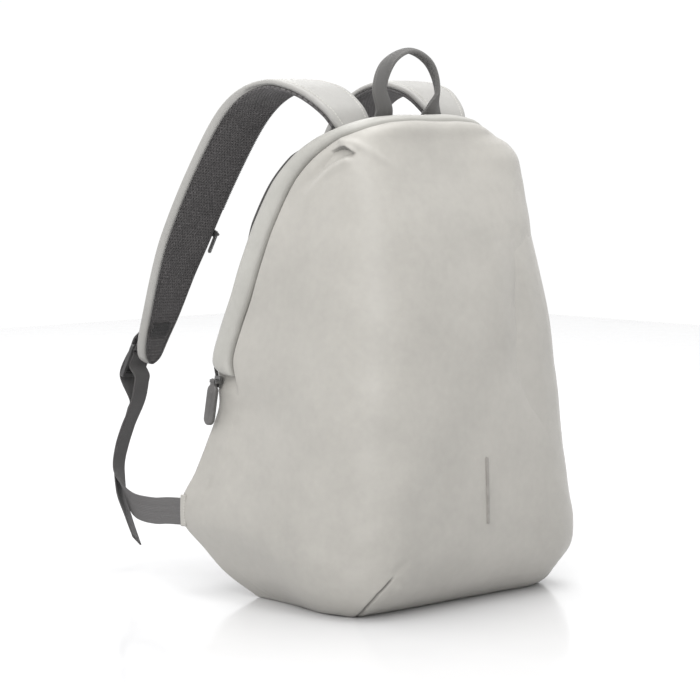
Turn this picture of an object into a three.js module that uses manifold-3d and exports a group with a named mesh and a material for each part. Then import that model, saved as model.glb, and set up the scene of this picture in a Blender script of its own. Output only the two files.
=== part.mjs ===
// A soft city backpack that stands by itself: a hollow pale shell with a puffed zip band round its rim,
// a dark padded back panel, a carry handle, two shoulder straps with their adjusters, and two zip pulls.
// Millimetres, +Z up. The front faces -Y and the straps hang behind, towards +Y.
import * as THREE from 'three';
import { mergeVertices } from 'three/addons/utils/BufferGeometryUtils.js';
import Module from 'manifold-3d';

const wasm = await Module();
wasm.setup();

// Driving dimensions
const bag = {
  width: 312, // across the two side wings
  height: 432, // from the floor to the top of the shell
  front_reach: 102, // from the handle's plane to the front
  back_reach: 138, // from the handle's plane to the wings
  wall: 3,
  floor: 8, // the stiffened base
};
const base_tuck = 7; // how far the outline would pass below the floor if the base were not flat
const rim_lip = 9; // the shell's cloth turned in round the open back
const opening_foot = 62; // height of the lower end of the open back
const seam_gap = 0.3;

const band = { width: 25, seat: 6, puff: 9.5, edge: 2.4, foot: 201 };
const panel = { thickness: 7, edge: 4, inset: 5, foot: 52, gap: 0.8 };
const handle = { spread: 60, rise: 62, width: 21, thickness: 2.4, sunk: 9.5, lean: 8.7 };
const strap = { width: 60, thickness: 10, skin: 1.6, hem: 2.2, hem_cover: 7.4, reach: 257 };
const webbing = { width: 25, thickness: 1.6 };
const patch = { width: 24, thickness: 1.2, aside: 2, from: 0.85, to: 0.91 };
const buckle = {
  length: 34, thickness: 3.4, bar: 4.2, side: 3.2, round: 3, clearance: 0.4, lean: 8,
  place: 0.93, // share of the strap's length at which its upper bar lies
  stand: 6, sewn: 0.08,
};
const strip = { width: 3, length: 59, thickness: 0.6, foot: 75, aside: -1, slant: 3, stand: 0.8 };
const main_zip = {
  sunk: 1.2, height: 195.5, line: 60, body: 7.5, length: 10, depth: 3, bar: 1.7, ear: 1.4,
  tab_width: 12, tab_length: 40, tab_thickness: 4.6, eye_wall: 1.2, clearance: 0.5, rib: 4,
};
const strap_zip = {
  place: 0.69, lift: -3, body: 5.8, length: 6.5, depth: 2, bar: 1.1, ear: 1,
  tab_width: 4, tab_length: 21, tab_thickness: 1.8, eye_wall: 0.6, clearance: 0.55, rib: 0,
};

// The outline seen from the front, from the floor to the top. out: share of half the bag's width at the
// open back, fore: the same at the front, up: share of the bag's height
const outline_rows = [
  { out: 0.000, fore: 0.000, up: -0.016 },
  { out: 0.350, fore: 0.380, up: -0.016 },
  { out: 0.620, fore: 0.680, up: -0.015 },
  { out: 0.745, fore: 0.830, up: -0.006 },
  { out: 0.800, fore: 0.900, up: 0.014 },
  { out: 0.872, fore: 0.960, up: 0.049 },
  { out: 0.930, fore: 0.985, up: 0.097 },
  { out: 0.978, fore: 0.985, up: 0.132 },
  { out: 1.000, fore: 0.980, up: 0.155 },
  { out: 1.000, fore: 0.975, up: 0.194 },
  { out: 0.958, fore: 0.960, up: 0.257 },
  { out: 0.918, fore: 0.940, up: 0.322 },
  { out: 0.876, fore: 0.915, up: 0.394 },
  { out: 0.890, fore: 0.885, up: 0.475 },
  { out: 0.851, fore: 0.850, up: 0.583 },
  { out: 0.805, fore: 0.800, up: 0.694 },
  { out: 0.750, fore: 0.750, up: 0.796 },
  { out: 0.699, fore: 0.699, up: 0.880 },
  { out: 0.650, fore: 0.650, up: 0.931 },
  { out: 0.570, fore: 0.570, up: 0.970 },
  { out: 0.430, fore: 0.430, up: 0.992 },
  { out: 0.220, fore: 0.220, up: 1.000 },
  { out: 0.000, fore: 0.000, up: 1.000 },
];
// The side profile. up: share of the bag's height, back: share of the back reach, front: share of the
// front reach, crown and side: how square the section is towards the front and along the side
const profile_rows = [
  { up: 0.000, back: 0.530, front: 0.97, crown: 5.0, side: 6.5 },
  { up: 0.050, back: 0.730, front: 1.02, crown: 5.0, side: 6.5 },
  { up: 0.100, back: 0.870, front: 1.03, crown: 5.0, side: 6.5 },
  { up: 0.150, back: 0.985, front: 1.02, crown: 4.8, side: 6.5 },
  { up: 0.195, back: 1.000, front: 1.01, crown: 4.6, side: 6.5 },
  { up: 0.260, back: 0.915, front: 1.00, crown: 4.4, side: 6.5 },
  { up: 0.360, back: 0.815, front: 0.99, crown: 4.2, side: 6.4 },
  { up: 0.420, back: 0.772, front: 0.985, crown: 4.2, side: 6.4 },
  { up: 0.460, back: 0.802, front: 0.98, crown: 4.2, side: 6.4 },
  { up: 0.500, back: 0.832, front: 0.975, crown: 4.2, side: 6.2 },
  { up: 0.560, back: 0.792, front: 0.96, crown: 4.2, side: 6.2 },
  { up: 0.640, back: 0.712, front: 0.91, crown: 4.2, side: 6.2 },
  { up: 0.710, back: 0.655, front: 0.85, crown: 4.2, side: 6.0 },
  { up: 0.780, back: 0.587, front: 0.78, crown: 4.2, side: 6.0 },
  { up: 0.860, back: 0.478, front: 0.68, crown: 4.4, side: 6.0 },
  { up: 0.910, back: 0.362, front: 0.63, crown: 4.4, side: 5.8 },
  { up: 0.955, back: 0.200, front: 0.61, crown: 4.2, side: 5.6 },
  { up: 0.985, back: 0.020, front: 0.61, crown: 4.2, side: 5.5 },
  { up: 1.000, back: -0.040, front: 0.62, crown: 4.2, side: 5.5 },
];
const middle_share = 0.44; // height of the middle of the front, which the sections close round

// Folds pressed into the shell, each on both sides: a straight line from start to end, with places as
// shares of half the width, the front reach and the height. lift is in shares of the wall, out or in.
const fold_rows = [
  { out: 0.59, fore: 0.10, up: 0.972, out_end: 0.33, fore_end: 0.36, up_end: 0.905, spread: 6, lift: 1.9 },
  { out: 0.60, fore: 0.04, up: 0.962, out_end: 0.70, fore_end: 0.20, up_end: 0.850, spread: 7, lift: -2.2 },
  { out: 0.74, fore: 0.56, up: 0.000, out_end: 0.60, fore_end: 0.92, up_end: 0.085, spread: 7, lift: -2.4 },
  { out: 0.66, fore: 0.62, up: 0.010, out_end: 0.52, fore_end: 0.98, up_end: 0.070, spread: 7, lift: 1.4 },
];

// The middle line of the left shoulder strap, from the top of the bag to its lower end.
// out: share of half the bag's width, back: share of the strap's reach, up: share of the bag's height,
// lean: turn of the strap's width from straight across, in degrees
const strap_rows = [
  { out: 0.444, back: 0.044, up: 0.980, lean: 0 },
  { out: 0.443, back: 0.084, up: 1.017, lean: 0 },
  { out: 0.443, back: 0.160, up: 1.050, lean: 0 },
  { out: 0.446, back: 0.240, up: 1.066, lean: 0 },
  { out: 0.450, back: 0.325, up: 1.072, lean: 1 },
  { out: 0.458, back: 0.430, up: 1.060, lean: 2 },
  { out: 0.466, back: 0.525, up: 1.030, lean: 2 },
  { out: 0.478, back: 0.610, up: 0.978, lean: 1 },
  { out: 0.505, back: 0.717, up: 0.880, lean: 0 },
  { out: 0.538, back: 0.805, up: 0.780, lean: -2 },
  { out: 0.570, back: 0.882, up: 0.677, lean: -6 },
  { out: 0.600, back: 0.942, up: 0.575, lean: -10 },
  { out: 0.620, back: 0.982, up: 0.510, lean: -12 },
  { out: 0.635, back: 1.000, up: 0.462, lean: -12 },
];

// The strap's width along its length, as shares of both: narrower at the top, tapering to a round lower end
const taper_rows = [
  { share: 0, width: 0.86 }, { share: 0.1, width: 0.93 }, { share: 0.2, width: 1 },
  { share: 0.72, width: 1 }, { share: 0.79, width: 0.9 }, { share: 0.86, width: 0.77 },
  { share: 0.91, width: 0.66 }, { share: 0.955, width: 0.52 }, { share: 0.985, width: 0.37 },
  { share: 1, width: 0.2 },
];

// The webbing below the adjuster. spin: turn of its width from straight across, stand: tilt of its
// width from level to upright, both in degrees
const loaded_rows = [
  { out: 0.635, back: 1.035, up: 0.430, spin: -18, stand: 0 },
  { out: 0.650, back: 1.050, up: 0.375, spin: -19, stand: 0 },
  { out: 0.668, back: 1.100, up: 0.315, spin: -20, stand: 0 },
  { out: 0.682, back: 1.130, up: 0.265, spin: -22, stand: 0 },
  { out: 0.695, back: 1.136, up: 0.215, spin: -28, stand: 4 },
  { out: 0.720, back: 1.080, up: 0.168, spin: -50, stand: 28 },
  { out: 0.765, back: 0.985, up: 0.147, spin: -66, stand: 64 },
  { out: 0.840, back: 0.820, up: 0.150, spin: -76, stand: 84 },
  { out: 0.905, back: 0.680, up: 0.162, spin: -76, stand: 90 },
  { out: 0.972, back: 0.536, up: 0.172, spin: -76, stand: 90 },
];
const free_rows = [
  { out: 0.650, back: 1.080, up: 0.375, spin: -19, stand: 0 },
  { out: 0.655, back: 1.124, up: 0.315, spin: -20, stand: 0 },
  { out: 0.666, back: 1.156, up: 0.265, spin: -22, stand: 0 },
  { out: 0.680, back: 1.165, up: 0.215, spin: -26, stand: 0 },
  { out: 0.700, back: 1.135, up: 0.165, spin: -30, stand: 0 },
  { out: 0.725, back: 1.062, up: 0.115, spin: -32, stand: 0 },
  { out: 0.740, back: 0.995, up: 0.066, spin: -34, stand: 0 },
];

// Small helpers

// A value between a table's rows, along a smooth curve that never overshoots them
function follow(rows, by, column, at) {
  const count = rows.length;
  if (at <= rows[0][by]) return rows[0][column];
  if (at >= rows[count - 1][by]) return rows[count - 1][column];
  const slope = (i) => (rows[i + 1][column] - rows[i][column]) / (rows[i + 1][by] - rows[i][by]);
  const steer = (i) => {
    if (i === 0) return slope(0);
    if (i === count - 1) return slope(count - 2);
    const before = slope(i - 1);
    const after = slope(i);
    return before * after <= 0 ? 0 : (2 * before * after) / (before + after);
  };
  let row = 0;
  while (rows[row + 1][by] < at) row += 1;
  const gap = rows[row + 1][by] - rows[row][by];
  const t = (at - rows[row][by]) / gap;
  const start = rows[row][column];
  const end = rows[row + 1][column];
  return (2 * t ** 3 - 3 * t ** 2 + 1) * start + (t ** 3 - 2 * t ** 2 + t) * gap * steer(row)
    + (3 * t ** 2 - 2 * t ** 3) * end + (t ** 3 - t ** 2) * gap * steer(row + 1);
}

// Places along a line of points, closer together where it bends; a turn of one radian counts as a length
function spread(points, count, turn_length) {
  const sums = [0];
  for (let i = 1; i < points.length; i += 1) {
    const ahead = points[Math.min(i + 1, points.length - 1)].clone().sub(points[i]);
    const behind = points[i].clone().sub(points[i - 1]);
    const turn = ahead.lengthSq() > 0 ? behind.angleTo(ahead) : 0;
    sums.push(sums[i - 1] + behind.length() + turn_length * turn);
  }
  const picks = [];
  for (let i = 0; i <= count; i += 1) {
    const wanted = (sums[sums.length - 1] * i) / count;
    let at = 1;
    while (at < sums.length - 1 && sums[at] < wanted) at += 1;
    const share = (wanted - sums[at - 1]) / (sums[at] - sums[at - 1]);
    picks.push((at - 1 + Math.min(1, share)) / (points.length - 1));
  }
  return picks;
}

function ease(from, to, at) {
  const t = Math.min(1, Math.max(0, (at - from) / (to - from)));
  return t * t * (3 - 2 * t);
}

function volume_of(points, faces) {
  let sum = 0;
  for (const [a, b, c] of faces) sum += points[a].dot(points[b].clone().cross(points[c]));
  return sum / 6;
}

// A geometry from points and triangles, turned so that its faces point out
function body(points, faces) {
  const outward = volume_of(points, faces) > 0;
  const geometry = new THREE.BufferGeometry();
  const places = points.flatMap((point) => [point.x, point.y, point.z]);
  geometry.setAttribute('position', new THREE.Float32BufferAttribute(places, 3));
  geometry.setIndex(faces.flatMap(([a, b, c]) => (outward ? [a, b, c] : [a, c, b])));
  return mergeVertices(geometry, 1e-4);
}

// A closed body through rings of points. Each end closes on a middle point, or on the triangles of a cap.
function loft(rings, { start, end, cap } = {}) {
  const count = rings[0].length;
  const points = rings.flat();
  const faces = [];
  for (let ring = 0; ring + 1 < rings.length; ring += 1) {
    for (let i = 0; i < count; i += 1) {
      const a = ring * count + i;
      const b = ring * count + ((i + 1) % count);
      faces.push([a, b, b + count], [a, b + count, a + count]);
    }
  }
  const last = (rings.length - 1) * count;
  if (cap) {
    for (const [a, b, c] of cap) faces.push([a, c, b], [last + a, last + b, last + c]);
  } else {
    points.push(start ?? middle_of(rings[0]), end ?? middle_of(rings[rings.length - 1]));
    const first_middle = points.length - 2;
    const last_middle = points.length - 1;
    for (let i = 0; i < count; i += 1) {
      const next = (i + 1) % count;
      faces.push([first_middle, next, i], [last_middle, last + i, last + next]);
    }
  }
  return body(points, faces);
}

function middle_of(ring) {
  const sum = new THREE.Vector3();
  for (const point of ring) sum.add(point);
  return sum.divideScalar(ring.length);
}

function solid(geometry) {
  const bare = geometry.clone();
  bare.deleteAttribute('normal');
  bare.deleteAttribute('uv');
  const merged = mergeVertices(bare, 1e-4);
  return new wasm.Manifold(new wasm.Mesh({
    numProp: 3,
    vertProperties: new Float32Array(merged.getAttribute('position').array),
    triVerts: new Uint32Array(merged.getIndex().array),
  }));
}

function geometry_of(cut_solid) {
  const mesh = cut_solid.getMesh();
  const geometry = new THREE.BufferGeometry();
  geometry.setAttribute('position', new THREE.BufferAttribute(new Float32Array(mesh.vertProperties), 3));
  geometry.setIndex(new THREE.BufferAttribute(new Uint32Array(mesh.triVerts), 1));
  return geometry;
}

// Round, slim section of a flat band: points across a width and a thickness, with its corners cut
function flat_section(width, thickness) {
  const cut = thickness * 0.25;
  const out = width / 2;
  const up = thickness / 2;
  return [
    [-out, -up + cut], [-out + cut, -up], [out - cut, -up], [out, -up + cut],
    [out, up - cut], [out - cut, up], [-out + cut, up], [-out, up - cut],
  ].map(([x, y]) => new THREE.Vector2(x, y));
}

// A band along frames { at, across, over }, whose section points lie across its width and over its face
function sweep(frames, section_at) {
  const rings = frames.map((frame, i) => section_at(i).map((point) => frame.at.clone()
    .addScaledVector(frame.across, point.x).addScaledVector(frame.over, point.y)));
  const cap = THREE.ShapeUtils.triangulateShape(section_at(0), []);
  return loft(rings, { cap });
}

// Frames along a curve: across is the given direction made square to the curve, over is the other side
function frames_along(curve, count, across_at, turn_length = 25) {
  const fine = curve.getPoints(400);
  return spread(fine, count, turn_length).map((share) => {
    const at = curve.getPoint(share);
    const along = curve.getTangent(share);
    const across = across_at(share);
    across.addScaledVector(along, -across.dot(along)).normalize();
    return { at, along, across, over: along.clone().cross(across), share };
  });
}

function mirrored(geometry) {
  const copy = geometry.clone();
  const places = copy.getAttribute('position');
  for (let i = 0; i < places.count; i += 1) places.setX(i, -places.getX(i));
  const corners = copy.getIndex();
  for (let i = 0; i < corners.count; i += 3) {
    const kept = corners.getX(i + 1);
    corners.setX(i + 1, corners.getX(i + 2));
    corners.setX(i + 2, kept);
  }
  return copy;
}

// The bag's outer form

const half_width = bag.width / 2;
const middle_height = bag.height * middle_share;

function back_at(z) {
  return bag.back_reach * follow(profile_rows, 'up', 'back', z / bag.height);
}

function front_at(z) {
  return -bag.front_reach * follow(profile_rows, 'up', 'front', z / bag.height);
}

// Half the outline of the open back, from the middle of the floor to the top, moved in by an inset
const outline_points = outline_rows.map((row) => (
  new THREE.Vector3(row.out * half_width, row.fore * half_width, row.up * bag.height)));
const half_outline = new THREE.CatmullRomCurve3(outline_points, false, 'centripetal');

// A point holds the outline's place at the back in x, at the front in y, and its height in z
function outline_point(share, inset) {
  const point = half_outline.getPoint(share);
  const along = half_outline.getTangent(share).setY(0).normalize();
  return new THREE.Vector3(Math.max(0, point.x - along.z * inset), Math.max(0, point.y - along.z * inset),
    point.z + along.x * inset);
}

// Where along the half outline it reaches a height, between the wings and the top
function share_at_height(z) {
  let low = outline_rows.findIndex((row) => row.out === 1) / (outline_rows.length - 1);
  let high = 1;
  for (let i = 0; i < 30; i += 1) {
    const share = (low + high) / 2;
    if (half_outline.getPoint(share).z < z) low = share;
    else high = share;
  }
  return high;
}

// Steps round half the outline, closer together at its corners, with one at the band's lower end
const outline_steps = 28;
const outline_shares = spread(half_outline.getPoints(600), outline_steps, 45);
const band_share = share_at_height(band.foot);
const nearest_step = outline_shares.reduce((best, share, i) => (
  Math.abs(share - band_share) < Math.abs(outline_shares[best] - band_share) ? i : best), 1);
outline_shares[nearest_step] = band_share;

// Stations round the whole outline, from the middle of the floor up the left side and down the right
function stations(inset) {
  const left = outline_shares.map((share) => {
    const point = outline_point(share, inset);
    return new THREE.Vector3(-point.x, -point.y, point.z);
  });
  const right = left.slice(1, -1).reverse().map((point) => new THREE.Vector3(-point.x, -point.y, point.z));
  return [...left, ...right];
}

// A point of the bag's form. depth runs from 0 at the open back to 1 at the front.
function form_point(station, depth, inset) {
  const up = station.z / bag.height;
  const crown = follow(profile_rows, 'up', 'crown', up);
  const side = follow(profile_rows, 'up', 'side', up);
  const shrink = (1 - depth ** side) ** (1 / crown);
  return point_on(station, shrink, depth, inset);
}

// The height of the flat base for the outer form, and of the stiffened base's upper face for the inner one
function floor_at(inset) {
  return inset > 0 ? bag.floor : 0;
}

function point_on(station, shrink, depth, inset) {
  const x = THREE.MathUtils.lerp(station.x, station.y, ease(0.15, 0.75, depth)) * shrink;
  const z = Math.max(floor_at(inset), middle_height + (station.z - middle_height) * shrink);
  const back = back_at(z) - inset;
  const front = front_at(z) + inset;
  return new THREE.Vector3(x, back + (front - back) * depth, z);
}

// Depth steps beyond the band, closer where the side turns into the front, as shares of the way to it
const nominal = { crown: 4, side: 6 };
const rim_clear = band.width + 8; // from here on the shell no longer follows the band

function far_shares(count) {
  const reach = bag.front_reach + bag.back_reach;
  const first = rim_clear / reach;
  const depth_at_turn = (turn) => Math.sin(turn) ** (2 / nominal.side);
  const fine = Array.from({ length: 401 }, (_, i) => {
    const turn = (i / 400) * (Math.PI / 2);
    const out = half_width * Math.cos(turn) ** (2 / nominal.crown);
    return new THREE.Vector3(out, 0, reach * depth_at_turn(turn));
  });
  const depths = spread(fine, 80, 60).map((share) => depth_at_turn(share * (Math.PI / 2)));
  const beyond = depths.filter((depth) => depth > first && depth < 1);
  return Array.from({ length: count }, (_, i) => (
    (beyond[Math.round(((i + 1) / count) * (beyond.length - 1))] - first) / (1 - first)));
}

const full_stations = stations(0);

// The direction that points out of the form at a station and a depth
function outward(index, depth) {
  const count = full_stations.length;
  const here = form_point(full_stations[index], depth, 0);
  const deeper = form_point(full_stations[index], Math.min(0.999, depth + 0.01), 0);
  const next = form_point(full_stations[(index + 1) % count], depth, 0);
  const before = form_point(full_stations[(index + count - 1) % count], depth, 0);
  return deeper.sub(here).cross(next.sub(before)).normalize();
}

// How far the shell lies below the form under the zip band
function seat_depth(station, from_rim) {
  const along = station.z > band.foot - 1 ? 1 : 0;
  return band.seat * along * (1 - ease(band.width - 1, band.width + 7, from_rim));
}

// How far the folds lift the shell, or press it in
function fold_lift(point) {
  const here = new THREE.Vector3(Math.abs(point.x), point.y, point.z);
  let lift = 0;
  for (const row of fold_rows) {
    const start = new THREE.Vector3(row.out * half_width, -row.fore * bag.front_reach, row.up * bag.height);
    const end = new THREE.Vector3(
      row.out_end * half_width, -row.fore_end * bag.front_reach, row.up_end * bag.height);
    const nearest = new THREE.Line3(start, end).closestPointToPoint(here, true, new THREE.Vector3());
    lift += row.lift * bag.wall * Math.exp(-((nearest.distanceTo(here) / row.spread) ** 2));
  }
  return lift;
}

function depth_from_rim(station, from_rim) {
  return from_rim / (back_at(station.z) - front_at(station.z));
}

// A point of the shell's outer or inner skin, below the form by its seat and moved by its folds
function skin_point(list, index, depth, from_rim, inset) {
  const place = form_point(list[index], depth, inset);
  const clear_of_band = ease(band.width - 1, band.width + 6, from_rim);
  const lift = fold_lift(place) * clear_of_band - seat_depth(full_stations[index], from_rim);
  const moved = place.addScaledVector(outward(index, depth), lift);
  moved.z = Math.max(floor_at(inset), moved.z);
  return moved;
}

const back_shrinks = [0.4, 0.8, 0.95]; // rings of the flat back, as shares of its outline

const band_steps = [0, band.width / 2, band.width - 1]; // rings under the band, by distance from the rim

function shell_rings(inset, rim_steps, far_steps) {
  const list = stations(inset);
  const rings = back_shrinks.map((shrink) => list.map((station) => point_on(station, shrink, 0, inset)));
  for (const from_rim of rim_steps) {
    rings.push(list.map((station, i) => (
      skin_point(list, i, depth_from_rim(full_stations[i], from_rim), from_rim, inset))));
  }
  for (const share of far_shares(far_steps)) {
    rings.push(list.map((_, i) => (
      skin_point(list, i, THREE.MathUtils.lerp(depth_from_rim(full_stations[i], rim_clear), 1, share),
        bag.width, inset))));
  }
  const start = new THREE.Vector3(0, back_at(middle_height) - inset, middle_height);
  const end = new THREE.Vector3(0, front_at(middle_height) + inset, middle_height);
  return { rings, start, end };
}

// The outline moved in by an inset, with the part below a foot line raised to it
function clipped(inset, foot) {
  return stations(inset).map((point) => new THREE.Vector3(point.x, 0, Math.max(foot, point.z)));
}

// The hollow shell, open at the back above the base
function shell() {
  const outer = shell_rings(0, [...band_steps, band.width + 3, rim_clear], 11);
  const inner = shell_rings(bag.wall, [...band_steps, rim_clear], 8);
  const mouth = clipped(rim_lip + band.seat, opening_foot);
  const reach = 4 * bag.wall;
  const front_ring = mouth.map((point) => point.clone().setY(back_at(point.z) - reach));
  const back_ring = mouth.map((point) => point.clone().setY(back_at(point.z) + reach));
  const start = new THREE.Vector3(0, back_at(middle_height) - 0.4 * bag.back_reach, middle_height);
  const end = new THREE.Vector3(0, back_at(middle_height) + bag.back_reach, middle_height);
  return geometry_of(solid(loft(outer.rings, outer))
    .subtract(solid(loft(inner.rings, inner)))
    .subtract(solid(loft([front_ring, back_ring], { start, end }))));
}

// The puffed band over the rim: seated on the shell, thin at its two seams and at its two ends
function zip_band() {
  const puff_steps = [1, 0.85, 0.5, 0.15, 0];
  const used = full_stations.map((_, i) => i).filter((i) => full_stations[i].z > band.foot - 1);
  const rings = used.map((i, order) => {
    const from_end = Math.min(order, used.length - 1 - order);
    const end_share = [0.45, 0.9][from_end] ?? 1;
    const place = (from_rim, lift) => {
      const depth = depth_from_rim(full_stations[i], from_rim);
      return form_point(full_stations[i], depth, 0).addScaledVector(outward(i, depth), lift - band.seat);
    };
    const under = band_steps.map((from_rim) => place(from_rim, 1.5 * seam_gap));
    const over = puff_steps.map((share) => {
      const round = (1 - Math.abs(2 * share - 1) ** 3) ** (1 / 3);
      const thick = band.edge + (band.puff - band.edge) * round * end_share;
      return place(share * band_steps[2], 1.5 * seam_gap + thick);
    });
    return [...under, ...over];
  });
  return loft(rings);
}

// The padded back panel, from above the base to the top, cut clear of the shell it lies on
function back_panel(shell_geometry) {
  const ring_at = (inset, shrink, thickness) => {
    const middle = (panel.foot + bag.height) / 2;
    return clipped(inset, panel.foot).map((point) => {
      const z = middle + (point.z - middle) * shrink;
      return new THREE.Vector3(point.x * shrink, back_at(z) + panel.gap + thickness, z);
    });
  };
  const inset = panel.inset + band.seat;
  const front_rings = back_shrinks.map((shrink) => ring_at(inset, shrink, 0));
  const back_rings = [...back_shrinks].reverse().map((shrink) => (
    ring_at(inset, shrink, panel.edge + (panel.thickness - panel.edge) * Math.sqrt(1 - shrink ** 4))));
  const rim = [ring_at(inset, 1, 0), ring_at(inset - 1, 1, panel.edge * 0.3), ring_at(inset, 1, panel.edge)];
  const keep_out = solid(shell_geometry).translate([0, seam_gap * 1.2, 0]);
  return geometry_of(solid(loft([...front_rings, ...rim, ...back_rings])).subtract(keep_out));
}

// The carry handle: webbing sewn flat behind the top, leaning forward, turned over once on its way across
function carry_handle() {
  const foot = bag.height - handle.sunk;
  const plane = back_at(foot) + 2 * seam_gap + handle.thickness / 2;
  const top = bag.height + handle.rise;
  const belly = handle.spread * 0.61;
  const leg = handle.spread / 2;
  const half = [
    [leg, foot, 0], [leg + 1, foot + handle.rise * 0.28, handle.lean],
    [belly, foot + handle.rise * 0.6, handle.lean], [belly * 0.72, foot + handle.rise * 0.92, handle.lean],
  ];
  const mirror_half = half.map(([x, z, lean]) => [-x, z, lean]);
  const points = [...mirror_half, [0, top, handle.lean], ...half.reverse()]
    .map(([x, z, lean]) => new THREE.Vector3(x, plane - lean, z));
  const curve = new THREE.CatmullRomCurve3(points);
  const frames = frames_along(curve, 28, (share) => {
    const turn = Math.PI * ease(0.08, 0.92, share);
    return new THREE.Vector3(Math.cos(turn), Math.sin(turn), 0);
  });
  return sweep(frames, () => flat_section(handle.width, handle.thickness));
}

// The middle line of the left strap and its frames
function strap_frames() {
  const curve = new THREE.CatmullRomCurve3(strap_rows.map((row) => new THREE.Vector3(
    -row.out * half_width, row.back * strap.reach, row.up * bag.height)));
  const steps = strap_rows.map((row, i) => ({ share: i / (strap_rows.length - 1), lean: row.lean }));
  return frames_along(curve, 30, (share) => {
    const lean = THREE.MathUtils.degToRad(follow(steps, 'share', 'lean', share));
    return new THREE.Vector3(-Math.cos(lean), Math.sin(lean), 0);
  });
}

// How wide the strap is at a share of its length
function strap_width_at(share) {
  return strap.width * follow(taper_rows, 'share', 'width', share);
}

// The strap's pale outer skin with its hem turned over both edges
function strap_cover() {
  const frames = strap_frames();
  const high = strap.thickness / 2;
  return sweep(frames, (i) => {
    const out = strap_width_at(frames[i].share) / 2;
    const hem = Math.min(strap.hem, out * 0.4);
    const low = high - strap.hem_cover;
    return [
      [-out, low], [-out + hem, low], [-out + hem, high - strap.skin], [0, high - strap.skin + 0.2],
      [out - hem, high - strap.skin], [out - hem, low], [out, low],
      [out, high - 2], [out - 2.5, high], [0, high + 0.8], [-out + 2.5, high], [-out, high - 2],
    ].map(([x, y]) => new THREE.Vector2(x, y));
  });
}

// The strap's dark mesh pad, inside the cover's hems
function strap_pad() {
  const frames = strap_frames();
  const high = strap.thickness / 2;
  return sweep(frames, (i) => {
    const half = strap_width_at(frames[i].share) / 2;
    const out = half - Math.min(strap.hem, half * 0.4) - 1.6 * seam_gap;
    const top = high - strap.skin - 1.6 * seam_gap;
    return [
      [-out, -high + 2.4], [-out * 0.8, -high + 0.6], [0, -high],
      [out * 0.8, -high + 0.6], [out, -high + 2.4], [out, top], [0, top + 0.2], [-out, top],
    ].map(([x, y]) => new THREE.Vector2(x, y));
  });
}

// The small pocket sewn on the pad's inner face near its lower end
function strap_patch() {
  const frames = strap_frames().filter((frame) => frame.share > patch.from && frame.share < patch.to);
  const low = -strap.thickness / 2 - seam_gap - patch.thickness / 2;
  return sweep(frames, () => flat_section(patch.width, patch.thickness).map((point) => (
    new THREE.Vector2(point.x + patch.aside, point.y + low))));
}

// The frame of the buckle: its top at the strap's end, leaning away from the strap
function buckle_frame() {
  const end = strap_frames().find((frame) => frame.share > buckle.place);
  const lean = THREE.MathUtils.degToRad(buckle.lean);
  const down = end.along.clone().multiplyScalar(Math.cos(lean)).addScaledVector(end.over, Math.sin(lean));
  const across = end.across.clone();
  const over = down.clone().cross(across);
  const stand = strap.thickness / 2 + buckle.stand;
  return { at: end.at.clone().addScaledVector(end.over, stand), down, across, over };
}

const buckle_half = webbing.width / 2 + buckle.clearance + buckle.side;
const slot = (buckle.length - 3 * buckle.bar) / 2;

function in_frame(frame, across, down, over) {
  return frame.at.clone().addScaledVector(frame.across, across).addScaledVector(frame.down, down)
    .addScaledVector(frame.over, over);
}

// The ladder buckle: a plate with rounded corners and two slots, between three cross bars
function ladder_buckle() {
  const frame = buckle_frame();
  const { round } = buckle;
  const outline = new THREE.Shape();
  outline.moveTo(-buckle_half + round, 0);
  outline.lineTo(buckle_half - round, 0);
  outline.quadraticCurveTo(buckle_half, 0, buckle_half, round);
  outline.lineTo(buckle_half, buckle.length - round);
  outline.quadraticCurveTo(buckle_half, buckle.length, buckle_half - round, buckle.length);
  outline.lineTo(-buckle_half + round, buckle.length);
  outline.quadraticCurveTo(-buckle_half, buckle.length, -buckle_half, buckle.length - round);
  outline.lineTo(-buckle_half, round);
  outline.quadraticCurveTo(-buckle_half, 0, -buckle_half + round, 0);
  const slot_half = webbing.width / 2 + buckle.clearance;
  for (const top of [buckle.bar, 2 * buckle.bar + slot]) {
    const hole = new THREE.Path();
    hole.moveTo(-slot_half, top);
    hole.lineTo(-slot_half, top + slot);
    hole.lineTo(slot_half, top + slot);
    hole.lineTo(slot_half, top);
    hole.lineTo(-slot_half, top);
    outline.holes.push(hole);
  }
  const plate = new THREE.ExtrudeGeometry(outline, {
    depth: buckle.thickness, bevelEnabled: false, curveSegments: 4,
  });
  plate.translate(0, 0, -buckle.thickness / 2);
  const basis = new THREE.Matrix4().makeBasis(frame.across, frame.down, frame.over.clone().negate());
  plate.applyMatrix4(basis.multiply(new THREE.Matrix4().makeScale(1, 1, -1)));
  plate.translate(frame.at.x, frame.at.y, frame.at.z);
  return closed(plate);
}

// A geometry with its shared points merged and its faces turned out
function closed(geometry) {
  const bare = geometry.clone();
  bare.deleteAttribute('normal');
  bare.deleteAttribute('uv');
  const merged = mergeVertices(bare, 1e-4);
  const places = merged.getAttribute('position');
  const points = Array.from({ length: places.count }, (_, i) => (
    new THREE.Vector3().fromBufferAttribute(places, i)));
  const corners = merged.getIndex();
  const faces = Array.from({ length: corners.count / 3 }, (_, i) => (
    [corners.getX(3 * i), corners.getX(3 * i + 1), corners.getX(3 * i + 2)]));
  return body(points, faces);
}

// Half a turn of webbing round a bar, from its back to its front
function turn_round(frame, down, away, steps, over_top) {
  return Array.from({ length: steps + 1 }, (_, i) => {
    const turn = (i / steps) * Math.PI;
    const rise = away * Math.sin(turn) * (over_top ? -1 : 1);
    return in_frame(frame, 0, down + rise, -away * Math.cos(turn));
  });
}

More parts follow.
